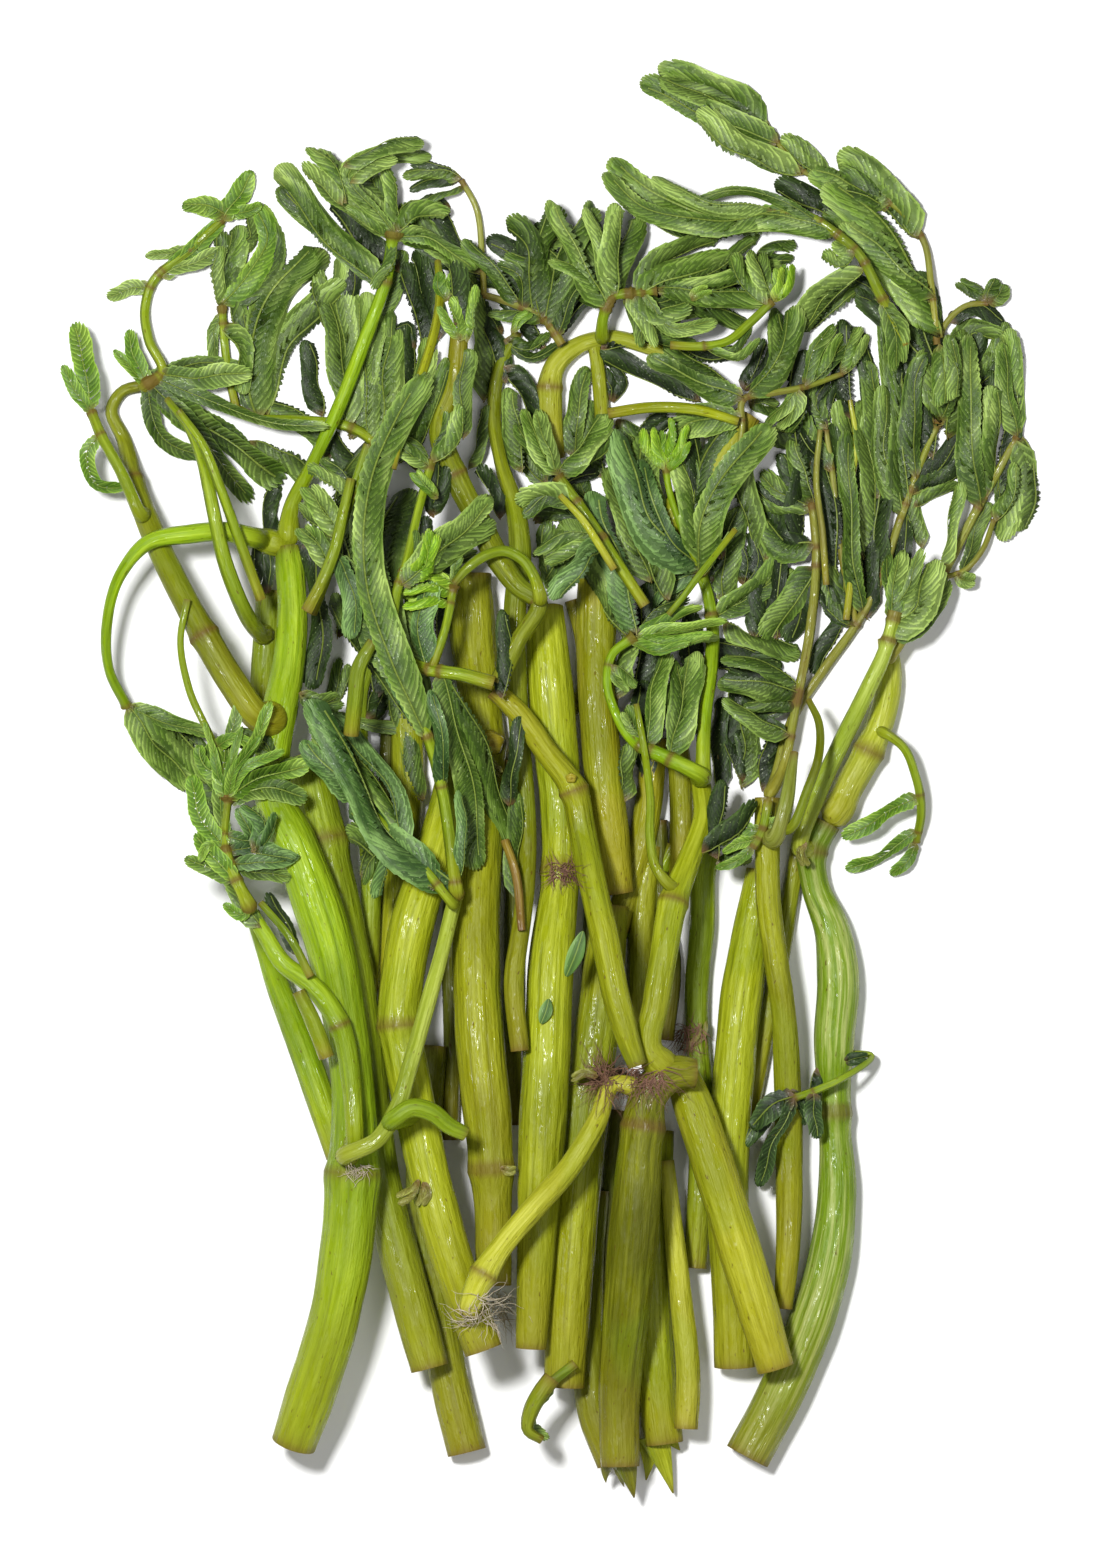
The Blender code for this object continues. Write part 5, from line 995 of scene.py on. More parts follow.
def lay_leaf(name, leaf, heap, start):
    """Lay one leaf: its stalks first, then each folded blade from its place on a stalk.

    Where a blade has to start higher than its stalk, the stalk is raised and the leaf laid again.
    """
    stalks = []
    for route in leaf["stalks"]:
        strip = stem_strip(route)
        stalks.append(snapped(strip, stalks, name) if stalks else strip)
    blades = [snapped(blade_strip(entry), stalks, name) for entry in leaf["blades"]]
    under = [heap.bounds(strip, UNDER_MARGIN_MM) for strip in stalks + blades]
    raised = []
    for _ in range(LAYING_ROUNDS):
        for order, strip in enumerate(stalks):
            stations, lows = under[order]
            for place, height in raised:
                away, _, at = height_on([strip], place, stations=True)
                if away < 0.01:
                    stations = np.append(stations, at)
                    lows = np.append(lows, height)
            begin = start
            if order > 0:
                begin = height_on(stalks[:order], strip.centres[0])[2] + STACK_STEP_MM
            settle(strip, stations, lows, STALK_BEND_MM, LEAF_SOFT_MM, begin)
        own = HeightMap()
        meets = [(strip, height_on(stalks[:k + 1], strip.centres[0])[2])
                 for k, strip in enumerate(stalks[1:])]
        for order, blade in enumerate(blades):
            height = height_on(stalks, blade.centres[0])[2] + STACK_STEP_MM * (1 + order % 4)
            stations, lows = under[len(stalks) + order]
            own_stations, own_lows = own.bounds(blade, OWN_MARGIN_MM)
            ceiling = height + np.clip(own_stations - FREE_BASE_MM, 0.0, None) * 0.45
            own_lows = np.where(own_stations < FREE_BASE_MM, 0.0, np.minimum(own_lows, ceiling))
            settle(blade, np.append(stations, own_stations), np.append(lows, own_lows),
                   BLADE_BEND_MM, LEAF_SOFT_MM, height)
            own.stamp(blade, OWN_MARGIN_MM, FREE_BASE_MM)
            meets.append((blade, height))
        short = [(strip, height) for strip, height in meets if strip.heights[0] - height > BASE_DROP_MM]
        if not short:
            break
        raised += [(strip.centres[0], strip.heights[0]) for strip, _ in short]
    for strip in stalks + blades:
        heap.stamp(strip, TOP_MARGIN_MM)
    return stalks, blades


def lay_everything():
    """Lay stems in order, then the leaves over them. Returns strips by piece name, and the heap."""
    heap = HeightMap()
    placed = {}
    for name, stem in STEMS.items():
        strip = stem_strip(stem["route"])
        thick = max(strip.half_widths) * 2.0 > BENDY_STEM_MM
        start = None
        if "grows_from" in stem:
            start = height_on(placed[stem["grows_from"]], strip.centres[0])[2]
        stations, lows = heap.bounds(strip, UNDER_MARGIN_MM)
        settle(strip, stations, lows, STEM_BEND_MM if thick else SLIM_BEND_MM, STEM_SOFT_MM, start)
        heap.stamp(strip, TOP_MARGIN_MM)
        placed[name] = [strip]
    for name, leaf in LEAVES.items():
        start = None
        if "grows_from" in leaf:
            first = plan(*leaf["stalks"][0][0][:2])
            start = height_on(placed[leaf["grows_from"]], first)[2]
        stalks, blades = lay_leaf(name, leaf, heap, start)
        placed[name] = stalks + blades
    return placed, heap


# Materials

def srgb(colour):
    """A colour given as it looks on a screen, 0 to 255, as linear numbers."""
    parts = []
    for value in colour:
        value /= 255.0
        parts.append(value / 12.92 if value <= 0.04045 else ((value + 0.055) / 1.055) ** 2.4)
    return tuple(parts)


class Wire:
    """A socket in a material's node tree that takes part in sums."""

    def __init__(self, tree, socket):
        self.tree = tree
        self.socket = socket

    def node(self, kind, settings, values, output=0):
        """Add a node: its settings first, then its sockets, and return one of its outputs."""
        made = self.tree.nodes.new(kind)
        for name, value in settings.items():
            if name == "stops":
                while len(made.color_ramp.elements) < len(value):
                    made.color_ramp.elements.new(0.5)
                for stop, (place, colour) in zip(made.color_ramp.elements, value):
                    stop.position = place
                    stop.color = colour
            else:
                setattr(made, name, value)
        for name, value in values.items():
            if isinstance(value, Wire):
                self.tree.links.new(value.socket, made.inputs[name])
            else:
                made.inputs[name].default_value = value
        return Wire(self.tree, made.outputs[output])

    def sum(self, operation, first, second):
        return self.node("ShaderNodeMath", {"operation": operation}, {0: first, 1: second})

    def __add__(self, other):
        return self.sum("ADD", self, other)

    __radd__ = __add__

    def __sub__(self, other):
        return self.sum("SUBTRACT", self, other)

    def __rsub__(self, other):
        return self.sum("SUBTRACT", other, self)

    def __mul__(self, other):
        return self.sum("MULTIPLY", self, other)

    __rmul__ = __mul__

    def above(self, low, high):
        """0 below low, 1 over high, and a straight rise between."""
        return self.node("ShaderNodeMapRange", {}, {0: self, 1: low, 2: high})

    def noise(self, scale, detail=3.0, stretch=(1.0, 1.0, 1.0)):
        """Noise over this place, stretched along its axes."""
        place = self.node("ShaderNodeVectorMath", {"operation": "MULTIPLY"}, {0: self, 1: stretch})
        return self.node("ShaderNodeTexNoise", {}, {"Vector": place, "Scale": scale, "Detail": detail})

    def parts(self):
        """The three parts of a vector."""
        apart = self.node("ShaderNodeSeparateXYZ", {}, {0: self}).socket.node
        return [Wire(self.tree, socket) for socket in apart.outputs]

    def blend(self, amount, first, second):
        """Mix two colours by an amount."""
        return self.node("ShaderNodeMix", {"data_type": "RGBA"},
                         {0: amount, 6: self.whole(first), 7: self.whole(second)}, 2)

    def whole(self, colour):
        return colour if isinstance(colour, Wire) else (*colour[:3], 1.0)


def start_material(name):
    """A new material with its shader and two attributes: the place on the piece, and its tone."""
    material = bpy.data.materials.new(name)
    material.use_nodes = True
    tree = material.node_tree
    first = Wire(tree, None)
    place = first.node("ShaderNodeAttribute", {"attribute_name": "place"}, {}, 1)
    tone = first.node("ShaderNodeAttribute", {"attribute_name": "tone"}, {}, 1)
    return material, tree.nodes["Principled BSDF"], place, tone.parts()


def finish_material(material, shader, colour, roughness, height, depth):
    """Join colour, roughness and relief to the shader."""
    links = material.node_tree.links
    links.new(colour.socket, shader.inputs["Base Color"])
    links.new(roughness.socket, shader.inputs["Roughness"])
    relief = colour.node("ShaderNodeBump", {}, {"Strength": 1.0, "Distance": depth, "Height": height})
    links.new(relief.socket, shader.inputs["Normal"])
    return material


def layered(place, colour, layers):
    """A colour under layers: each a pattern, where it starts and is full, its strength and its colour."""
    for pattern, start, full, strength, over in layers:
        colour = place.blend(pattern.above(start, full) * strength, colour, over)
    return colour


def stem_material(look):
    """Wet, streaked skin: place is millimetres along the stem, then its two cross axes."""
    main, light, dark = [srgb(colour) for colour in STEM_COLOURS[look]]
    material, shader, place, (along, chance, scar) = start_material("skin_" + look)
    streaks = place.noise(1.0, 4.0, (0.03, 1.2, 1.2))
    threads = place.noise(1.0, 2.0, (0.05, 4.0, 4.0))
    bands = place.noise(0.12, 2.0, (0.35, 1.0, 1.0))
    patches = place.noise(0.06, 1.0, (1.0, 1.4, 1.4))
    specks = place.noise(1.0, 2.0, (0.55, 1.5, 1.5))
    wet = place.noise(1.0, 3.0, (0.22, 0.8, 0.8))
    ridges = place.noise(0.5, 3.0, (0.35, 1.0, 1.0))
    colour = layered(place, main, (
        (streaks, 0.46, 0.68, 0.8, light),
        (bands, 0.42, 0.66, 0.5, dark),
        (patches, 0.5, 0.62, 0.3, srgb(GREEN_PATCH)),
        (streaks, 0.44, 0.3, 0.5, dark),
        (threads, 0.55, 0.72, 0.3, dark),
        (along, 0.34, 0.0, 0.5, srgb(OCHRE_BASE)),
        (chance, 0.0, 1.0, 0.18, srgb(OCHRE_TINT)),
        (specks, 0.69, 0.74, 0.7, srgb(SPECK_BROWN)),
        (scar, 0.0, 1.0, 0.75, srgb(SCAR_BROWN)),
    ))
    roughness = 0.5 - wet.above(0.5, 0.6) * 0.34 + scar * 0.2
    height = streaks * 0.8 + threads * 0.35 + ridges * 2.2
    shader.inputs["Specular IOR Level"].default_value = 0.22
    return finish_material(material, shader, colour, roughness, height, 0.0003)


def pith_material(look):
    """The cut face of a stem: pale, spongy and browned at the rim."""
    material, shader, place, tone = start_material("cut_" + look)
    grain = place.noise(1.6, 4.0)
    colour = layered(place, srgb(PITH_DARK), (
        (grain, 0.35, 0.7, 1.0, srgb(PITH_PALE)),
        (tone[2], 0.0, 1.0, 0.6, srgb(PITH_RIM)),
    ))
    return finish_material(material, shader, colour, 0.55 + grain * 0.2, grain, 0.0006)


def pinna_material(look):
    """Folded leaflets: place is leaflets along the piece, then millimetres across and along."""
    main, light, dark = [srgb(colour) for colour in LEAF_COLOURS[look]]
    material, shader, place, (from_base, chance, inner) = start_material("pinna_" + look)
    leaflet = place.parts()[0]
    across = leaflet.sum("FRACT", leaflet, 0.0)
    broad = place.noise(0.09, 2.0, (0.0, 1.6, 1.0))
    each = place.noise(1.0, 0.0, (0.41, 0.0, 0.0))
    veins = place.noise(1.0, 2.0, (0.0, 4.0, 0.6))
    # Wet spots on pinnae: their lower roughness is real, their pale colour is a painted highlight
    dew_and_glint = place.noise(1.8, 2.0, (0.0, 1.0, 1.0))
    colour = layered(place, main, (
        (chance, 0.55, 1.0, 0.55, light),
        (chance, 0.42, 0.0, 0.5, dark),
        (broad, 0.5, 0.66, 0.7, light),
        (broad, 0.47, 0.3, 0.6, dark),
        (each, 0.54, 0.72, 0.25, light),
        (each, 0.46, 0.28, 0.16, dark),
        # Painted shade over each leaflet where the next one overlaps it, and a painted highlight along its
        # edge
        (across, 0.78, 0.62, 0.6, dark),
        (across, 0.82, 0.9, 0.25, light),
        (veins, 0.54, 0.68, 0.3, dark),
        # Painted shade near the rib, as in a fold, and a painted highlight at the leaflets' outer ends
        (inner, 0.4, 0.8, 0.4, dark),
        (inner, 0.14, 0.0, 0.35, light),
        (inner, 0.9, 0.98, 0.5, srgb(RIB_GREEN)),
        # Painted highlight: pale glints on the wet spots
        (dew_and_glint, 0.66, 0.72, 0.4, srgb(GLINT_PALE)),
        (from_base, 2.0, 0.3, 0.6, srgb(BASE_BROWN)),
    ))
    roughness = 0.5 - dew_and_glint.above(0.56, 0.66) * 0.24
    shader.inputs["Specular IOR Level"].default_value = 0.3
    return finish_material(material, shader, colour, roughness, veins + dew_and_glint * 0.4 + broad, 0.0001)


def hair_material(look):
    """Root hairs, each of its own shade."""
    start, tip = [srgb(colour) for colour in HAIR_COLOURS[look]]
    material, shader, place, tone = start_material(look)
    shades = place.blend(tone[1], start, tip)
    grain = place.noise(1.0, 2.0)
    return finish_material(material, shader, shades, 0.55 + grain * 0.2, grain, 0.00005)


def floor_material(colour):
    """The plain pale floor, with a grain that can hardly be seen."""
    material, shader, place, tone = start_material("pale_floor")
    spot = place.node("ShaderNodeTexCoord", {}, {}, 3)
    grain = spot.noise(60.0, 3.0)
    shades = place.blend(grain, colour, [0.985 * part for part in colour[:3]])
    return finish_material(material, shader, shades, 0.75 + grain * 0.1, grain, 0.00002)


FINISHES = {}


def finish(name):
    """A finish by name, made when it is first asked for."""
    if name not in FINISHES:
        if name in STEM_COLOURS:
            FINISHES[name] = stem_material(name)
        elif name in LEAF_COLOURS:
            FINISHES[name] = pinna_material(name)
        elif name in HAIR_COLOURS:
            FINISHES[name] = hair_material(name)
        else:
            FINISHES[name] = pith_material(name)
    return FINISHES[name]


# Modelling helpers

def only(item):
    """Select one object alone and make it the active one."""
    bpy.ops.object.select_all(action="DESELECT")
    item.select_set(True)
    bpy.context.view_layer.objects.active = item


def unit_directions(centres):
    """Unit vectors along a line of points."""
    heading = np.gradient(np.asarray(centres), axis=0)
    return heading / (np.linalg.norm(heading, axis=1)[:, None] + 1e-9)


def course(strip, step=STATION_MM, lead=None):
    """A smooth line through a strip's rings: x, y, z, half width, half thickness, in millimetres."""
    keys = np.column_stack([strip.centres, strip.heights, strip.half_widths, strip.half_thicknesses])
    if lead is not None:
        first = keys[0].copy()
        first[:3] = lead
        keys = np.vstack([first, keys])
    gaps = np.linalg.norm(np.diff(keys[:, :3], axis=0), axis=1)
    at = np.concatenate([[0.0], np.cumsum(gaps)])
    slopes = np.gradient(keys, at, axis=0)
    slopes[0] = (keys[1] - keys[0]) / gaps[0]
    slopes[-1] = (keys[-1] - keys[-2]) / gaps[-1]
    count = max(6, int(at[-1] / step) + 1)
    where = np.linspace(0.0, at[-1], count)
    span = np.clip(np.searchsorted(at, where, side="right") - 1, 0, len(gaps) - 1)
    wide = gaps[span][:, None]
    t = ((where - at[span]) / gaps[span])[:, None]
    line = ((2 * t ** 3 - 3 * t ** 2 + 1) * keys[span] + (t ** 3 - 2 * t ** 2 + t) * wide * slopes[span]
            + (3 * t ** 2 - 2 * t ** 3) * keys[span + 1] + (t ** 3 - t ** 2) * wide * slopes[span + 1])
    return line, where


def follow(item, line, radii, turns=None):
    """Bend a piece that runs along X from 0 to 1 onto a line, with a Curve modifier."""
    curve = bpy.data.curves.new("course", "CURVE")
    curve.dimensions = "3D"
    curve.twist_mode = "Z_UP"
    curve.use_radius = True
    curve.use_stretch = True
    curve.use_deform_bounds = True
    spline = curve.splines.new("POLY")
    spline.points.add(len(line) - 1)
    flat = np.column_stack([line[:, :3] * MM, np.ones(len(line))])
    spline.points.foreach_set("co", flat.ravel())
    spline.points.foreach_set("radius", np.asarray(radii) * MM)
    if turns is not None:
        spline.points.foreach_set("tilt", turns)
    guide = bpy.data.objects.new("course", curve)
    bpy.context.scene.collection.objects.link(guide)
    only(item)
    bend = item.modifiers.new("course", "CURVE")
    bend.object = guide
    bend.deform_axis = "POS_X"
    bpy.ops.object.modifier_apply(modifier=bend.name)
    bpy.data.objects.remove(guide)
    bpy.data.curves.remove(curve)


def vertex_numbers(item, attribute=None):
    """Each vertex's place, or a vector attribute of the mesh, as an array."""
    mesh = item.data
    flat = np.zeros(len(mesh.vertices) * 3, dtype=np.float32)
    if attribute is None:
        mesh.vertices.foreach_get("co", flat)
    else:
        mesh.attributes[attribute].data.foreach_get("vector", flat)
    return flat.reshape(-1, 3).astype(float)


def place_vertices(item, places):
    """Move a mesh's vertices to new places."""
    item.data.vertices.foreach_set("co", places.astype(np.float32).ravel())
    item.data.update()


def write_attributes(item, place, tone):
    """Store each vertex's place on its piece and its tone for the materials."""
    for name, values in (("place", place), ("tone", tone)):
        kept = item.data.attributes.get(name) or item.data.attributes.new(name, "FLOAT_VECTOR", "POINT")
        kept.data.foreach_set("vector", np.asarray(values, dtype=np.float32).ravel())


def lay_primitive(add, facets, start=0.0, **radii):
    """A cylinder or cone 1 long on its side, from start along X, left in edit mode."""
    bpy.ops.object.select_all(action="DESELECT")
    add(vertices=facets, depth=1.0, location=(start + 0.5, 0.0, 0.0), rotation=(0.0, math.pi / 2, 0.0),
        **radii)
    bpy.ops.object.transform_apply(location=True, rotation=True, scale=True)
    bpy.ops.object.mode_set(mode="EDIT")
    return bpy.context.object


def cut_across(item, cuts):
    """Cut a piece into rings across the edges that run its whole length, and leave edit mode."""
    bpy.ops.mesh.select_all(action="DESELECT")
    bpy.ops.mesh.select_mode(type="EDGE")
    work = bmesh.from_edit_mesh(item.data)
    for edge in work.edges:
        ends = [corner.co.x for corner in edge.verts]
        edge.select_set(abs(ends[0] - ends[1]) > 0.5)
    bmesh.update_edit_mesh(item.data)
    bpy.ops.mesh.subdivide(number_cuts=cuts)
    bpy.ops.object.mode_set(mode="OBJECT")


def hollow_ends(item, depth):
    """Inset both end faces of a cylinder in edit mode, and sink the pith inside them."""
    bpy.ops.mesh.select_all(action="DESELECT")
    bpy.ops.mesh.select_mode(type="FACE")
    work = bmesh.from_edit_mesh(item.data)
    for face in work.faces:
        face.select_set(abs(face.normal.x) > PITH_FACE)
    bmesh.update_edit_mesh(item.data)
    bpy.ops.mesh.inset(thickness=PITH_INSET, depth=0.0)
    work = bmesh.from_edit_mesh(item.data)
    for face in work.faces:
        if face.select:
            inward = -math.copysign(depth, face.normal.x)
            for corner in face.verts:
                corner.co.x += inward


def bump(distance, reach):
    """A smooth rise to 1 where the distance is 0, over the reach."""
    return np.exp(-(distance / reach) ** 2)


def tube_profile(line, where, nodes, branches, chance):
    """Radii along a tube, with swollen nodes and the flare of a branch, and where it is scarred."""
    swell = np.ones(len(where))
    scar = np.zeros(len(where))
    girth = line[:, 3].mean()
    for point in nodes:
        at = where[int(np.linalg.norm(line[:, :2] - point, axis=1).argmin())]
        swell += NODE_SWELL * min(1.0, girth / NODE_GIRTH_MM) * bump(where - at, NODE_LENGTH * girth)
        swell += SCAR_SWELL * bump(where - at, SCAR_LENGTH * girth)
        scar += bump(where - at - 0.1 * girth, SCAR_LENGTH * girth + SCAR_EDGE_MM)
    if branches:
        swell += BASE_FLARE * bump(where - BASE_FLARE_MM, BASE_FLARE_MM)
        swell *= np.clip(BASE_NARROW + BASE_WIDENS * where, BASE_NARROW, 1.0)
    waves = sum(share * np.sin(where / length + chance * shift) for share, length, shift in TUBE_WAVES)
    return line[:, 3] * swell * (1.0 + waves), scar


def tube(name, strip, look, facets, nodes=(), lead=None, chance=0.5, step=STATION_MM):
    """A stem or stalk: a cylinder cut into rings, with hollowed cut ends, bent onto its course."""
    line, where = course(strip, step, lead)
    total = where[-1]
    radii, scar = tube_profile(line, where, nodes, lead is not None, chance)
    line[:, 2] = np.maximum(line[:, 2], radii + FLOOR_GAP_MM)
    item = lay_primitive(bpy.ops.mesh.primitive_cylinder_add, facets, radius=1.0)
    item.name = name
    hollow_ends(item, PITH_DEPTH_MM / total)
    cut_across(item, len(where) - 2)
    item.data.materials.append(finish(look))
    item.data.materials.append(finish("pith"))
    for face in item.data.polygons:
        if abs(face.normal.x) > PITH_FACE and len(face.vertices) > 4:
            face.material_index = 1
    places = vertex_numbers(item)
    share = np.clip(places[:, 0], 0.0, 1.0)
    here = share * total
    local = np.interp(here, where, radii)
    from_end = total - here if lead is not None else np.minimum(here, total - here)
    brown = np.interp(here, where, scar) + BROWN_END * np.exp(-from_end / BROWN_END_MM)
    spots = np.column_stack([here + chance * 300.0, places[:, 1] * local, places[:, 2] * local])
    write_attributes(item, spots,
                     np.column_stack([share, np.full(len(share), chance), np.clip(brown, 0.0, 1.0)]))
    follow(item, line, radii)
    only(item)
    bpy.ops.object.shade_smooth_by_angle(angle=SMOOTH_TUBE)
    return item


def splinter(entry, strip, look, index):
    """A torn flat fibre that runs on from the end of a stem to a point."""
    wide = entry[0]
    level = strip.heights[0] + SPLINTER_RISES_MM[index % len(SPLINTER_RISES_MM)]
    ends = np.array([[*point, level * fall] for point, fall in zip(plan_points(entry), SPLINTER_FALL)])
    shares = np.linspace(0.0, 1.0, SPLINTER_CUTS + 2)[:, None]
    line = (1 - shares) ** 2 * ends[0] + 2 * shares * (1 - shares) * ends[1] + shares ** 2 * ends[2]
    item = lay_primitive(bpy.ops.mesh.primitive_cone_add, SPLINTER_FACETS,
                         radius1=1.0, radius2=SPLINTER_POINT)
    bpy.ops.mesh.select_all(action="SELECT")
    bpy.ops.transform.resize(value=(1.0, 1.0, SPLINTER_FLAT), center_override=(0.0, 0.0, 0.0))
    cut_across(item, SPLINTER_CUTS)
    item.data.materials.append(finish(look))
    places = vertex_numbers(item)
    share = np.clip(places[:, 0], 0.0, 1.0)
    tone = np.full(len(share), 0.3)
    write_attributes(item, places * (9.0, wide, wide) + (40.0 * index, 0.0, 0.0),
                     np.column_stack([tone, tone, 0.8 * share ** 6]))
    follow(item, line, np.full(len(line), wide / 2.0))
    return item


def leaflet_rows(pairs, rib_cuts):
    """Two rows of plain leaflets, and the rib between them, laid end to end along X."""
    row = lay_primitive(bpy.ops.mesh.primitive_cylinder_add, 4, radius=1.0)
    cut_across(row, LEAFLET_CUTS)
    rank = row.modifiers.new("rank", "ARRAY")
    rank.count = 2 * pairs
    rank.use_relative_offset = False
    rank.use_constant_offset = True
    rank.constant_offset_displace = (RANK_STEP, 0.0, 0.0)
    bpy.ops.object.modifier_apply(modifier=rank.name)
    rib = lay_primitive(bpy.ops.mesh.primitive_cylinder_add, RIB_FACETS, RIB_START, radius=1.0)
    cut_across(rib, rib_cuts)
    return join([row, rib], "pinna_shape")


def pinna_master(length, style, side):
    """One pinna, 1 long and 2 wide: two rows of overlapping leaflets, folded together or half open."""
    sizes = bpy.context.scene.water_mimosa
    lean, most, spacing, offset, broad, tilt, arch = PINNA_STYLES[style]
    pairs = max(6, int(length / spacing))
    item = leaflet_rows(pairs, int(length / RIB_STEP_MM))
    places = vertex_numbers(item)
    is_rib = places[:, 0] < -0.5
    # Along, across and through each leaflet or the rib, and which leaflet it is
    rank = np.floor((places[:, 0] + 0.5) / RANK_STEP)
    u = np.clip(places[:, 0] - np.where(is_rib, RIB_START, RANK_STEP * rank), 0.0, 1.0)
    v = places[:, 1]
    w = places[:, 2]
    pair = np.floor(rank / 2.0)
    upper = rank % 2.0 < 0.5
    random = np.random.default_rng(int(length * 10) + len(style) + int(side + 1))
    odd = random.uniform(-1.0, 1.0, (2 * pairs, 4))[np.clip(rank, 0, 2 * pairs - 1).astype(int)]
    hand = np.where(upper | (style == "folded"), -side, side)
    deep = np.where(upper, 0.0, UNDER_ROW_DROP_MM) * (style == "folded")
    # Where each leaflet starts on the rib, and how far along it reaches
    wide = TYPICAL_HALF_MM * (1.0 - hand * offset * side)
    reach = np.minimum(wide / math.tan(math.radians(lean)), most * length)
    start = (pair + 0.5 + 0.2 * odd[:, 0] + deep) / pairs * RIB_END * length
    far = start + reach * np.clip(0.5 + 2.5 * start / length, 0.5, 1.0)
    # The leaflets' ends follow the sides as far as the tip, then go round it
    tip = TIP_ROUND * TYPICAL_HALF_MM
    body = length - tip
    outline = FULL_OUTLINE if side > 0 else SLENDER_OUTLINE
    rib_at = np.where(is_rib, u, start / length)
    rib_y = offset * side * TYPICAL_HALF_MM * np.interp(rib_at, OUTLINE_STOPS, outline)
    half_span = TYPICAL_HALF_MM * np.interp(np.minimum(far, body) / length, OUTLINE_STOPS, outline)
    half_span *= 1.0 + sizes.notch * odd[:, 1]
    share = np.clip((far - body) / (RIB_END * length + reach - body), 0.0, 1.0)
    swing = share ** 0.8 * np.arccos(hand * side * offset)
    end_x = np.where(far > body, body + tip * np.sin(swing), far)
    end_y = hand * half_span * np.cos(swing)
    # Each leaflet's own outline, tilted a little, on the arched pinna
    x = start + (end_x - start) * (u + LEAFLET_BOW * (u * u - u))
    y = rib_y + (end_y - rib_y) * np.sin(u * math.pi / 2.0)
    least = np.where(u < 0.5, LEAFLET_BASE, LEAFLET_TIP)
    half = broad * np.sqrt(np.clip(1.0 - (2.0 * u - 1.0) ** 4, least, 1.0))
    slope = np.arctan2(np.abs(end_y - rib_y), end_x - start)
    x -= v * half * np.sin(slope) * LEAFLET_FILL
    y += hand * v * half * np.cos(slope) * LEAFLET_FILL
    rise = v * half * np.sin(math.radians(tilt) * (1.0 + 0.5 * odd[:, 3]))
    z = 0.5 - deep + rise + w * LEAFLET_THICK_MM + 0.02 * odd[:, 3] - arch * y * y / TYPICAL_HALF_MM
    x = np.where(is_rib, RIB_END * u * length, x) / length
    y = np.where(is_rib, rib_y + RIB_HALF_MM * v, y) / TYPICAL_HALF_MM
    z = np.where(is_rib, 0.5 + RIB_HALF_MM * w - arch * rib_y * rib_y / TYPICAL_HALF_MM, z)
    z /= TYPICAL_HALF_MM * sizes.thinness
    place_vertices(item, np.column_stack([np.clip(x, 0.0, 1.0), y, z]))
    # 1 on the rib, 0.85 at each leaflet's base, falling to 0 at its tip: the material paints shade near the
    # rib and a highlight at the tips by it
    inner = np.where(is_rib, 1.0, 0.85 * (1.0 - u))
    # The strand's fraction runs across each leaflet, and the material paints shade and a highlight by it
    strand = np.where(is_rib, RIB_STRAND + u * length, 2.0 * rank + 0.1 + 0.4 * (v + 1.0))
    write_attributes(item, np.column_stack([strand, y, x]), np.column_stack([x, 0.5 + 0.0 * x, inner]))
    only(item)
    bpy.ops.object.mode_set(mode="EDIT")
    bpy.ops.mesh.select_all(action="SELECT")
    bpy.ops.mesh.normals_make_consistent(inside=False)
    bpy.ops.object.mode_set(mode="OBJECT")
    bpy.ops.object.shade_smooth_by_angle(angle=SMOOTH_PINNA)
    return item


MASTERS = {}


def master_for(length, style, side):
    """The pinna shape for a length, made when it is first asked for."""
    index = int(np.searchsorted(PINNA_CLASSES[:-1], length * CLASS_SHARE))
    key = (index, style, side)
    if key not in MASTERS:
        MASTERS[key] = pinna_master(PINNA_CLASSES[index], style, side)
    return MASTERS[key]


def pinna(strip, look, chance, feathery):
    """A copy of a pinna with its own mesh, thinned, rolled a little and bent onto its course."""
    sizes = bpy.context.scene.water_mimosa
    line, where = course(strip, 1.0)
    total = where[-1]
    style = "half" if (chance * 11.0) % 1.0 < HALF_OPEN_SHARE else "folded"
    side = 1.0 if (chance * 7.0) % 1.0 > 0.5 else -1.0
    master = master_for(total, "feather" if feathery else style, side)
    item = bpy.data.objects.new("pinna", master.data.copy())
    bpy.context.scene.collection.objects.link(item)
    wide = strip.half_widths.max()
    item.data.transform(Matrix.Diagonal((1.0, 1.0, sizes.thinness, 1.0)))
    tone = vertex_numbers(item, "tone")
    tone[:, 0] *= total
    tone[:, 1] = chance
    spot = vertex_numbers(item, "place")
    spot[:, 1:] *= (wide, total)
    spot[:, 2] += chance * 500.0
    write_attributes(item, spot, tone)
    item.data.materials.clear()
    item.data.materials.append(finish(look))
    # A limp pinna rolls on its axis, sways to the sides and lifts off what it lies on
    share = where / total
    radii = wide * (0.9 + 0.06 * np.sin(share * 11.0 + chance * 20.0))
    roll = sizes.roll * (2.0 * ((chance * 13.0) % 1.0) - 1.0)
    swing = np.sin(math.pi * share)
    turns = roll * swing ** 0.7 + 0.3 * np.sin(share * 7.0 + chance * 30.0)
    heading = unit_directions(line[:, :2])
    sway = min(SWAY_SHARE * total, SWAY_MAX_MM) * np.sin(share * (6.0 + 4.0 * chance) + chance * 40.0) * swing
    line[:, 0] -= heading[:, 1] * sway
    line[:, 1] += heading[:, 0] * sway
    line[:, 2] += LIFT_MM * np.sin(share * 9.0 + chance * 17.0) * swing
    line[:, 2] = np.maximum(line[:, 2], FLOOR_LIFT_MM + radii * np.abs(np.sin(turns)))
    follow(item, line, radii, turns)
    places = vertex_numbers(item)
    places[:, 2] = np.maximum(places[:, 2], FLOOR_GAP_MM * MM)
    place_vertices(item, places)
    return item


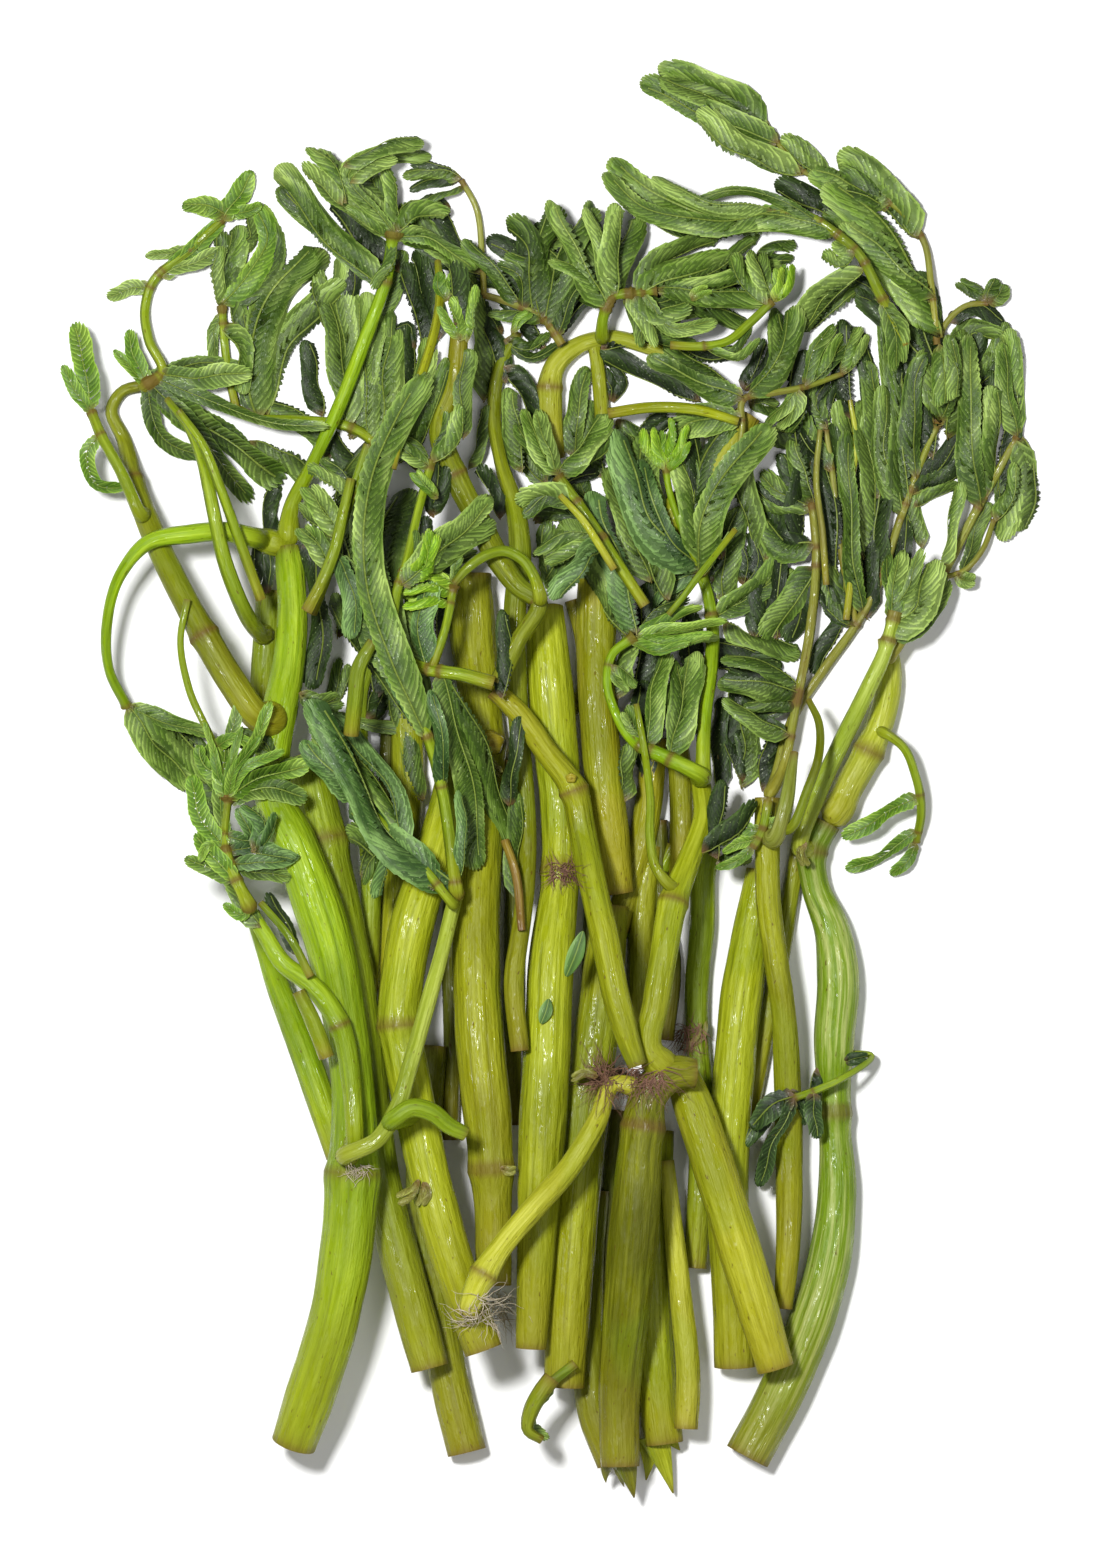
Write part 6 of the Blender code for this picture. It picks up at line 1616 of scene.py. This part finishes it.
def pinnae(strip, look, chance, feathery):
    """The pinna on a course, or two narrow ones side by side where the course is short and broad."""
    wide = strip.half_widths.max()
    total = strip.stations[-1]
    if feathery or total > 2.0 * SLIM_RATIO * wide:
        return [pinna(strip, look, chance, feathery)]
    heading = unit_directions(strip.centres)
    across = np.column_stack([-heading[:, 1], heading[:, 0]])
    apart = TWIN_APART * wide * np.clip(strip.stations / (0.4 * total), 0.0, 1.0)
    pieces = []
    for side in (-1.0, 1.0):
        own = (chance * 3.0 + 0.31 * side) % 1.0
        share = 1.0 - TWIN_SHORTER * own
        centres = strip.centres[0] + share * (np.array(strip.centres) - strip.centres[0])
        centres += side * apart[:, None] * across
        twin = Strip(centres, strip.half_widths * TWIN_SHARE, strip.half_thicknesses, strip.sides)
        twin.heights = strip.heights + TWIN_STEP_MM * (1.0 + side)
        pieces.append(pinna(twin, look, own, False))
    return pieces


def blade_look(strip, look):
    """A blade's finish: the leaf's own, unless the blade lies in a spot with another colour."""
    middle = strip.centres[len(strip.centres) // 2]
    for x, y, reach, other in LOOK_SPOTS:
        if np.linalg.norm(middle - plan(x, y)) < reach * PIXEL_MM:
            return other
    return look


def join(items, name):
    """Join pieces into one object with a given name."""
    bpy.ops.object.select_all(action="DESELECT")
    for item in items:
        item.select_set(True)
    bpy.context.view_layer.objects.active = items[0]
    if len(items) > 1:
        bpy.ops.object.join()
    items[0].name = name
    items[0].data.name = name
    return items[0]


def hand_over(item, node):
    """Set a finished piece on the frame, in the place of its solid if it has one."""
    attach(item, "root")
    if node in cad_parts:
        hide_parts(node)


def chance_of(name, index=0):
    """A settled share between 0 and 1 for a piece, from its name."""
    total = sum((k + 1) * ord(letter) for k, letter in enumerate(name)) + 37 * index
    return (total * 0.6180339) % 1.0


def without_tip(strip):
    """A stem cut off square before its split tip."""
    rest = Strip(strip.centres[1:], strip.half_widths[1:], strip.half_thicknesses[1:], strip.sides)
    rest.heights = strip.heights[1:]
    return rest


def parent_lead(entry, strip):
    """Where a branch meets the middle of the piece that it grows from."""
    parent = entry.get("grows_from") or entry.get("meets")
    if not parent:
        return None
    away, place, height = height_on(LAID[parent], strip.centres[0])
    if away > LEAD_REACH_MM:
        return None
    return np.array([place[0], place[1], height])


# The bunch's pieces laid out in space, filled by the first operator
LAID = {}
HEAP = HeightMap()


def turned(strip, angle):
    """A blade's companion: the same blade turned about its base and shortened."""
    base = strip.centres[0]
    turn = np.array([[math.cos(angle), -math.sin(angle)], [math.sin(angle), math.cos(angle)]])
    centres = [base + COMPANION_SHARE * (turn @ (centre - base)) for centre in strip.centres]
    return Strip(centres, strip.half_widths * COMPANION_SHARE, strip.half_thicknesses, strip.sides)


def slimmed(strip, share):
    """The same course with thinner rings."""
    thin = Strip(strip.centres, strip.half_widths * share, strip.half_thicknesses * share, strip.sides)
    thin.heights = strip.heights
    return thin


def lay_back(strip, ground, start):
    """Lay a blade low, on the stems and the floor, beneath the leaves already laid."""
    stations, lows = ground.bounds(strip, 0.0)
    settle(strip, stations, np.maximum(lows - BACK_SINK_MM, 0.0), BLADE_BEND_MM, LEAF_SOFT_MM, start)


def lay_low_stalks(ground):
    """Lay the low stalks on the floor, between and under the stems."""
    for name, stalk in UNDER_STALKS.items():
        strip = stem_strip(stalk["route"])
        stations, lows = ground.bounds(strip, 0.0)
        settle(strip, stations, np.zeros(len(lows)), STALK_BEND_MM, LEAF_SOFT_MM)
        LAID[name] = [strip]


def lay_extra_stalks(heap):
    """Lay the leafless stalks over the bunch."""
    for name, stalk in EXTRA_STALKS.items():
        strip = stem_strip(stalk["route"])
        stations, lows = heap.bounds(strip, 0.0)
        start = None
        if "grows_from" in stalk:
            start = height_on(LAID[stalk["grows_from"]], strip.centres[0])[2]
        settle(strip, stations, lows, STALK_BEND_MM, LEAF_SOFT_MM, start)
        heap.stamp(strip, EXTRA_MARGIN_MM)
        LAID[name] = [strip]


def lay_companions(name, leaf, blades, ground):
    """Lay a leaf's low pinnae, each turned from the one it lies beneath."""
    for order, blade in enumerate(blades):
        for turn in leaf.get("companions", COMPANIONS):
            side = 1.0 if (order % 2) == 0 else -1.0
            companion = turned(blade, side * turn * (0.8 + 0.4 * chance_of(name, order)))
            if companion.stations[-1] < COMPANION_MIN_MM:
                continue
            lay_back(companion, ground, max(blade.heights[0] - BACK_BASE_MM, BACK_BASE_MIN_MM))
            LAID[name].append(companion)


def lay_upper(name, leaf, stalks, heap):
    """Lay a leaf's upper pinnae over the bunch, from their stalks."""
    for entry in leaf.get("upper", ()):
        blade = snapped(blade_strip(entry), stalks, name)
        stations, lows = heap.bounds(blade, 0.0)
        height = height_on(stalks, blade.centres[0])[2]
        lows = np.minimum(lows - UPPER_SINK_MM, height + np.clip(stations - UPPER_FREE_MM, 0.0, None) * 0.5)
        settle(blade, stations, lows, BLADE_BEND_MM, LEAF_SOFT_MM, height)
        heap.stamp(blade, EXTRA_MARGIN_MM)
        LAID[name].append(blade)


def lay_loose(name, group, heap, ground):
    """Lay a group of pinnae that no solid stands for, over the bunch or low beneath it."""
    LAID[name] = []
    for entry in group["blades"]:
        blade = blade_strip(entry)
        if group.get("on_top"):
            stations, lows = heap.bounds(blade, 0.0)
            settle(blade, stations, np.maximum(lows - TOP_SINK_MM, 0.0), BLADE_BEND_MM, LEAF_SOFT_MM)
        else:
            lay_back(blade, ground, None)
        LAID[name].append(blade)


def lay_extras(heap):
    """Lay the pinnae and stalks past the solids' budget over and under the rest."""
    ground = HeightMap()
    for name in STEMS:
        ground.stamp(LAID[name][0], 0.0)
    lay_low_stalks(ground)
    lay_extra_stalks(heap)
    for name, leaf in LEAVES.items():
        stalks = LAID[name][:len(leaf["stalks"])]
        lay_companions(name, leaf, LAID[name][len(leaf["stalks"]):], ground)
        lay_upper(name, leaf, stalks, heap)
    for name, group in LOOSE_PINNAE.items():
        lay_loose(name, group, heap, ground)


class WaterMimosaSettings(bpy.types.PropertyGroup):
    """Sizes and colours of the bunch's looks."""

    roll: bpy.props.FloatProperty(name="Pinna roll", description="How far folded pinnae turn on their axis",
                                  default=0.7, min=0.0, max=1.5, subtype="ANGLE")
    thinness: bpy.props.FloatProperty(name="Thinness", description="Thickness of a pinna against its width",
                                      default=0.2, min=0.05, max=0.6, subtype="FACTOR")
    notch: bpy.props.FloatProperty(name="Ragged edge", description="How unlike in reach its leaflets are",
                                   default=0.05, min=0.0, max=0.5, subtype="FACTOR")
    hair: bpy.props.FloatProperty(name="Root hair", description="Thickness of a root hair",
                                  default=0.00019, unit="LENGTH")
    floor_colour: bpy.props.FloatVectorProperty(name="Floor", description="Colour of the plain floor",
                                                default=(0.93, 0.93, 0.93), subtype="COLOR", min=0.0, max=1.0)
    key_power: bpy.props.FloatProperty(name="Key light", description="Power of the main soft light",
                                       default=18.0, unit="POWER")
    sky_strength: bpy.props.FloatProperty(name="Sky", description="Strength of the even light from all round",
                                          default=0.21)


class MIMOSA_OT_lay_out(bpy.types.Operator):
    """Work out where every stem, branch and pinna lies"""

    bl_idname = "mimosa.lay_out"
    bl_label = "Lay Out the Bunch"

    def execute(self, context):
        laid, heap = lay_everything()
        LAID.update(laid)
        lay_extras(heap)
        HEAP.tops = heap.tops
        missing = sorted(set(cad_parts) - set(LAID))
        if missing:
            raise RuntimeError(f"no route for {missing}")
        return {"FINISHED"}


class MIMOSA_OT_stems(bpy.types.Operator):
    """Build the thick stems and the branches, with swollen nodes and cut ends"""

    bl_idname = "mimosa.stems"
    bl_label = "Stems and Branches"

    def execute(self, context):
        for name, stem in STEMS.items():
            strip = LAID[name][0]
            if "splinters" in stem:
                strip = without_tip(strip)
            nodes = [plan(x, y) for x, y in stem.get("nodes", ())]
            item = tube(name + "_skin", strip, stem["look"], STEM_FACETS, nodes, parent_lead(stem, strip),
                        chance_of(name))
            if "splinters" in stem:
                torn = [splinter(entry, strip, stem["look"], index)
                        for index, entry in enumerate(stem["splinters"])]
                item = join([item, *torn], item.name)
            hand_over(item, name)
        return {"FINISHED"}


class MIMOSA_OT_stalks(bpy.types.Operator):
    """Build the thin leafless stalks between the stems"""

    bl_idname = "mimosa.stalks"
    bl_label = "Thin Stalks"

    def execute(self, context):
        for name, stalk in EXTRA_STALKS.items():
            strip = LAID[name][0]
            item = tube(name, strip, stalk.get("look", "leafy"), STALK_FACETS, (), parent_lead(stalk, strip),
                        chance_of(name), STALK_STATION_MM)
            hand_over(item, name)
        return {"FINISHED"}


class MIMOSA_OT_leaves(bpy.types.Operator):
    """Build every leaf: its stalks and its folded pinnae"""

    bl_idname = "mimosa.leaves"
    bl_label = "Leaves"

    def execute(self, context):
        for name, leaf in LEAVES.items():
            pieces = []
            look = leaf.get("look", "sage")
            stalk_look = leaf.get("stalk_look", "leafy")
            first_blade = len(leaf["stalks"])
            beneath = range(first_blade + len(leaf["blades"]), len(LAID[name]) - len(leaf.get("upper", ())))
            for index, strip in enumerate(LAID[name]):
                chance = chance_of(name, index)
                if index < first_blade:
                    lead = parent_lead(leaf, strip) if index == 0 else None
                    nodes = [blade.centres[0] for blade in LAID[name][first_blade:]
                             if height_on([strip], blade.centres[0])[0] < NODE_REACH_MM]
                    if stalk_look == "tan":
                        strip = slimmed(strip, SLIM_STALK)
                    pieces.append(tube("stalk", strip, stalk_look, STALK_FACETS, nodes, lead, chance,
                                       LEAF_STALK_STATION_MM))
                else:
                    finish_name = blade_look(strip, look)
                    # Pinnae beneath the others get the darker finish, a painted shade
                    if index in beneath:
                        finish_name = DARKER[finish_name]
                    pieces += pinnae(strip, finish_name, chance, leaf.get("feathery", False))
            hand_over(join(pieces, name + "_pinnae"), name)
        return {"FINISHED"}


class MIMOSA_OT_back_leaves(bpy.types.Operator):
    """Build the leaves beneath the others or on top of them, and the low stalks between the stems"""

    bl_idname = "mimosa.back_leaves"
    bl_label = "Leaves Beneath"

    def execute(self, context):
        for name, group in LOOSE_PINNAE.items():
            pieces = []
            for index, strip in enumerate(LAID[name]):
                chance = chance_of(name, index)
                # The shaded share gets the darker finish, a painted shade
                look = group["look"] if chance > group.get("shaded", 0.0) else DARKER[group["look"]]
                pieces += pinnae(strip, look, chance, False)
            hand_over(join(pieces, name), "")
        for name, stalk in UNDER_STALKS.items():
            item = tube(name, LAID[name][0], stalk["look"], STALK_FACETS, (), None, chance_of(name))
            hand_over(item, "")
        for master in MASTERS.values():
            bpy.data.objects.remove(master)
        MASTERS.clear()
        return {"FINISHED"}


class MIMOSA_OT_roots(bpy.types.Operator):
    """Grow tufts of root hairs at the nodes"""

    bl_idname = "mimosa.roots"
    bl_label = "Root Tufts"

    def execute(self, context):
        thickness = context.scene.water_mimosa.hair
        for name, x, y, wide, high, count, look, aim, spread, length in ROOT_TUFTS:
            random = np.random.default_rng(count * 7 + int(x))
            curve = bpy.data.curves.new(name, "CURVE")
            curve.dimensions = "3D"
            curve.bevel_depth = thickness / 2.0
            curve.bevel_resolution = 0
            curve.use_fill_caps = True
            for _ in range(count):
                start = plan(x + random.uniform(-1.0, 1.0) * wide, y + random.uniform(-1.0, 1.0) * high)
                heading = math.radians(random.normal(aim, spread))
                reach = random.uniform(0.4, 1.0) * length
                spline = curve.splines.new("POLY")
                spline.points.add(HAIR_POINTS)
                place = np.array(start)
                for index, point in enumerate(spline.points):
                    row, column = HEAP.cells(place)
                    arch = HAIR_ARCH_MM * math.sin(math.pi * index / (HAIR_POINTS + 1))
                    lift = HAIR_LIFT_MM + arch * random.uniform(0.3, 1.0)
                    base = HEAP.tops[row, column]
                    if index == 0:
                        level = base
                    level += HAIR_FOLLOWS * (max(base, level - HAIR_DROP_MM) - level)
                    point.co = (place[0] * MM, place[1] * MM, (level + lift) * MM, 1.0)
                    point.radius = 1.0 - 0.8 * index / HAIR_POINTS
                    heading += random.normal(0.0, HAIR_CURL)
                    place = place + reach / HAIR_POINTS * np.array([math.cos(heading), math.sin(heading)])
            item = bpy.data.objects.new(name, curve)
            context.scene.collection.objects.link(item)
            only(item)
            bpy.ops.object.convert(target="MESH")
            item = context.object
            places = vertex_numbers(item)
            chance = (places[:, 0] * 4000.0) % 1.0
            write_attributes(item, places / MM, np.column_stack([chance, chance, chance]))
            item.data.materials.clear()
            item.data.materials.append(finish(look))
            hand_over(item, "")
        return {"FINISHED"}


class MIMOSA_OT_loose_leaflets(bpy.types.Operator):
    """Lay the loose leaflets on the stems"""

    bl_idname = "mimosa.loose_leaflets"
    bl_label = "Loose Leaflets"

    def execute(self, context):
        for index, entry in enumerate(LOOSE_LEAFLETS):
            wide = entry[0]
            halves = [wide * 0.35, wide * 0.5, wide * 0.4]
            strip = Strip(plan_points(entry), halves, [0.2, 0.3, 0.2], 4)
            stations, lows = HEAP.bounds(strip, 0.0)
            settle(strip, stations, lows + 0.15, BLADE_BEND_MM, 0.6)
            bpy.ops.object.select_all(action="DESELECT")
            bpy.ops.mesh.primitive_uv_sphere_add(segments=24, ring_count=16, radius=1.0)
            item = context.object
            item.name = f"loose_leaflet_{index + 1}"
            places = vertex_numbers(item)
            share = (places[:, 0] + 1.0) / 2.0
            rib = 1.0 - 0.35 * bump(places[:, 1], 0.12)
            place_vertices(item, np.column_stack([share, places[:, 1], places[:, 2] * 0.13 * rib]))
            chance = np.full(len(share), 0.5)
            # 1 along the middle, 0 at the edges: the material paints shade over the middle and a highlight at
            #                                     the edges by it
            inner = 1.0 - np.abs(places[:, 1])
            spots = places * wide
            spots[:, 0] = PLAIN_STRAND
            write_attributes(item, spots, np.column_stack([chance + 9.0, chance, inner]))
            item.data.materials.append(finish("blue"))
            bowed = course(strip, 0.5)[0]
            follow(item, bowed, bowed[:, 3])
            bpy.ops.object.shade_smooth()
            hand_over(item, "")
        return {"FINISHED"}


class MIMOSA_OT_buds(bpy.types.Operator):
    """Set round resting buds on the stems' nodes"""

    bl_idname = "mimosa.buds"
    bl_label = "Resting Buds"

    def execute(self, context):
        for index, (x, y, wide) in enumerate(NODE_BUDS):
            spot = plan(x, y)
            strip = Strip([spot - (0.0, 1.0), spot, spot + (0.0, 1.0)], [1.0, 1.0, 1.0], [0.3, 0.3, 0.3], 4)
            lows = HEAP.bounds(strip, 0.0)[1]
            height = float(lows[1]) - 0.1 * wide
            bpy.ops.object.select_all(action="DESELECT")
            bpy.ops.mesh.primitive_uv_sphere_add(segments=32, ring_count=20, radius=1.0)
            item = context.object
            item.name = f"resting_bud_{index + 1}"
            unit = vertex_numbers(item)
            folds = 1.0 + 0.07 * np.sin(5.0 * np.arctan2(unit[:, 1], unit[:, 0])) * (1.0 - unit[:, 2] ** 2)
            dimple = 0.3 * np.exp(-((unit[:, 0] - 0.2) ** 2 + (unit[:, 1] + 0.15) ** 2) / 0.06)
            round_place = unit * np.array([wide / 2.0, wide / 2.2, wide / 2.6]) * (folds - dimple)[:, None]
            moved = (round_place + np.array([spot[0], spot[1], height])) * MM
            place_vertices(item, moved)
            rim = np.clip(dimple * 2.0, 0.0, 1.0)
            write_attributes(item, round_place, np.column_stack([rim, np.full(len(rim), 0.5), rim]))
            item.data.materials.append(finish("bud_skin"))
            bpy.ops.object.shade_smooth()
            hand_over(item, "")
        return {"FINISHED"}


class MIMOSA_OT_studio(bpy.types.Operator):
    """Add the plain floor, the soft lights and the camera that looks straight down"""

    bl_idname = "mimosa.studio"
    bl_label = "Floor, Lights and Camera"

    def execute(self, context):
        sizes = context.scene.water_mimosa
        bpy.ops.object.select_all(action="DESELECT")
        bpy.ops.mesh.primitive_plane_add(size=FLOOR_SIZE_M, location=(0.0, 0.0, -FLOOR_DROP_M))
        floor = context.object
        floor.name = "plain_floor"
        bpy.ops.object.transform_apply(location=True)
        floor.data.materials.append(floor_material(sizes.floor_colour))
        lamps = (("key_light", (-0.28, 0.2, 1.2), 0.16, sizes.key_power),
                 ("fill_light", (0.5, -0.3, 1.3), 1.0, sizes.key_power * FILL_SHARE))
        for name, place, size, power in lamps:
            bpy.ops.object.light_add(type="AREA", location=place)
            lamp = context.object
            lamp.name = name
            lamp.data.size = size
            lamp.data.energy = power
            lamp.rotation_euler = (-lamp.location).to_track_quat("-Z", "Y").to_euler()
        world = bpy.data.worlds.new("even_sky")
        world.use_nodes = True
        world.node_tree.nodes["Background"].inputs["Color"].default_value = (1.0, 1.0, 1.0, 1.0)
        world.node_tree.nodes["Background"].inputs["Strength"].default_value = sizes.sky_strength
        context.scene.world = world
        middle = plan(PICTURE_WIDE / 2.0, PICTURE_HIGH / 2.0) * MM
        bpy.ops.object.camera_add(location=(middle[0], middle[1], CAMERA_FAR_M), rotation=(0.0, 0.0, 0.0))
        camera = context.object
        camera.data.sensor_width = SENSOR_MM
        camera.data.lens = SENSOR_MM * CAMERA_FAR_M / (PICTURE_HIGH * PIXEL_MM * MM)
        camera.data.clip_end = 50.0
        context.scene.camera = camera
        context.scene.view_settings.view_transform = "Standard"
        return {"FINISHED"}


class MIMOSA_PT_panel(bpy.types.Panel):
    """The bunch's steps, in order"""

    bl_label = "Water Mimosa"
    bl_idname = "MIMOSA_PT_panel"
    bl_space_type = "VIEW_3D"
    bl_region_type = "UI"
    bl_category = "Water Mimosa"

    def draw(self, context):
        for step in STEPS:
            self.layout.operator(step.bl_idname)
        for name in WaterMimosaSettings.__annotations__:
            self.layout.prop(context.scene.water_mimosa, name)


STEPS = (MIMOSA_OT_lay_out, MIMOSA_OT_stems, MIMOSA_OT_stalks, MIMOSA_OT_leaves, MIMOSA_OT_back_leaves,
         MIMOSA_OT_roots, MIMOSA_OT_loose_leaflets, MIMOSA_OT_buds, MIMOSA_OT_studio)
CLASSES = (WaterMimosaSettings, *STEPS, MIMOSA_PT_panel)


def register():
    for made in CLASSES:
        bpy.utils.register_class(made)
    bpy.types.Scene.water_mimosa = bpy.props.PointerProperty(type=WaterMimosaSettings)


def unregister():
    del bpy.types.Scene.water_mimosa
    for made in reversed(CLASSES):
        bpy.utils.unregister_class(made)


def main():
    """Build the whole bunch."""
    register()
    bpy.ops.mimosa.lay_out()
    bpy.ops.mimosa.stems()
    bpy.ops.mimosa.stalks()
    bpy.ops.mimosa.leaves()
    bpy.ops.mimosa.back_leaves()
    bpy.ops.mimosa.roots()
    bpy.ops.mimosa.loose_leaflets()
    bpy.ops.mimosa.buds()
    bpy.ops.mimosa.studio()
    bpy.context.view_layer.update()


if __name__ == "__main__":
    main()
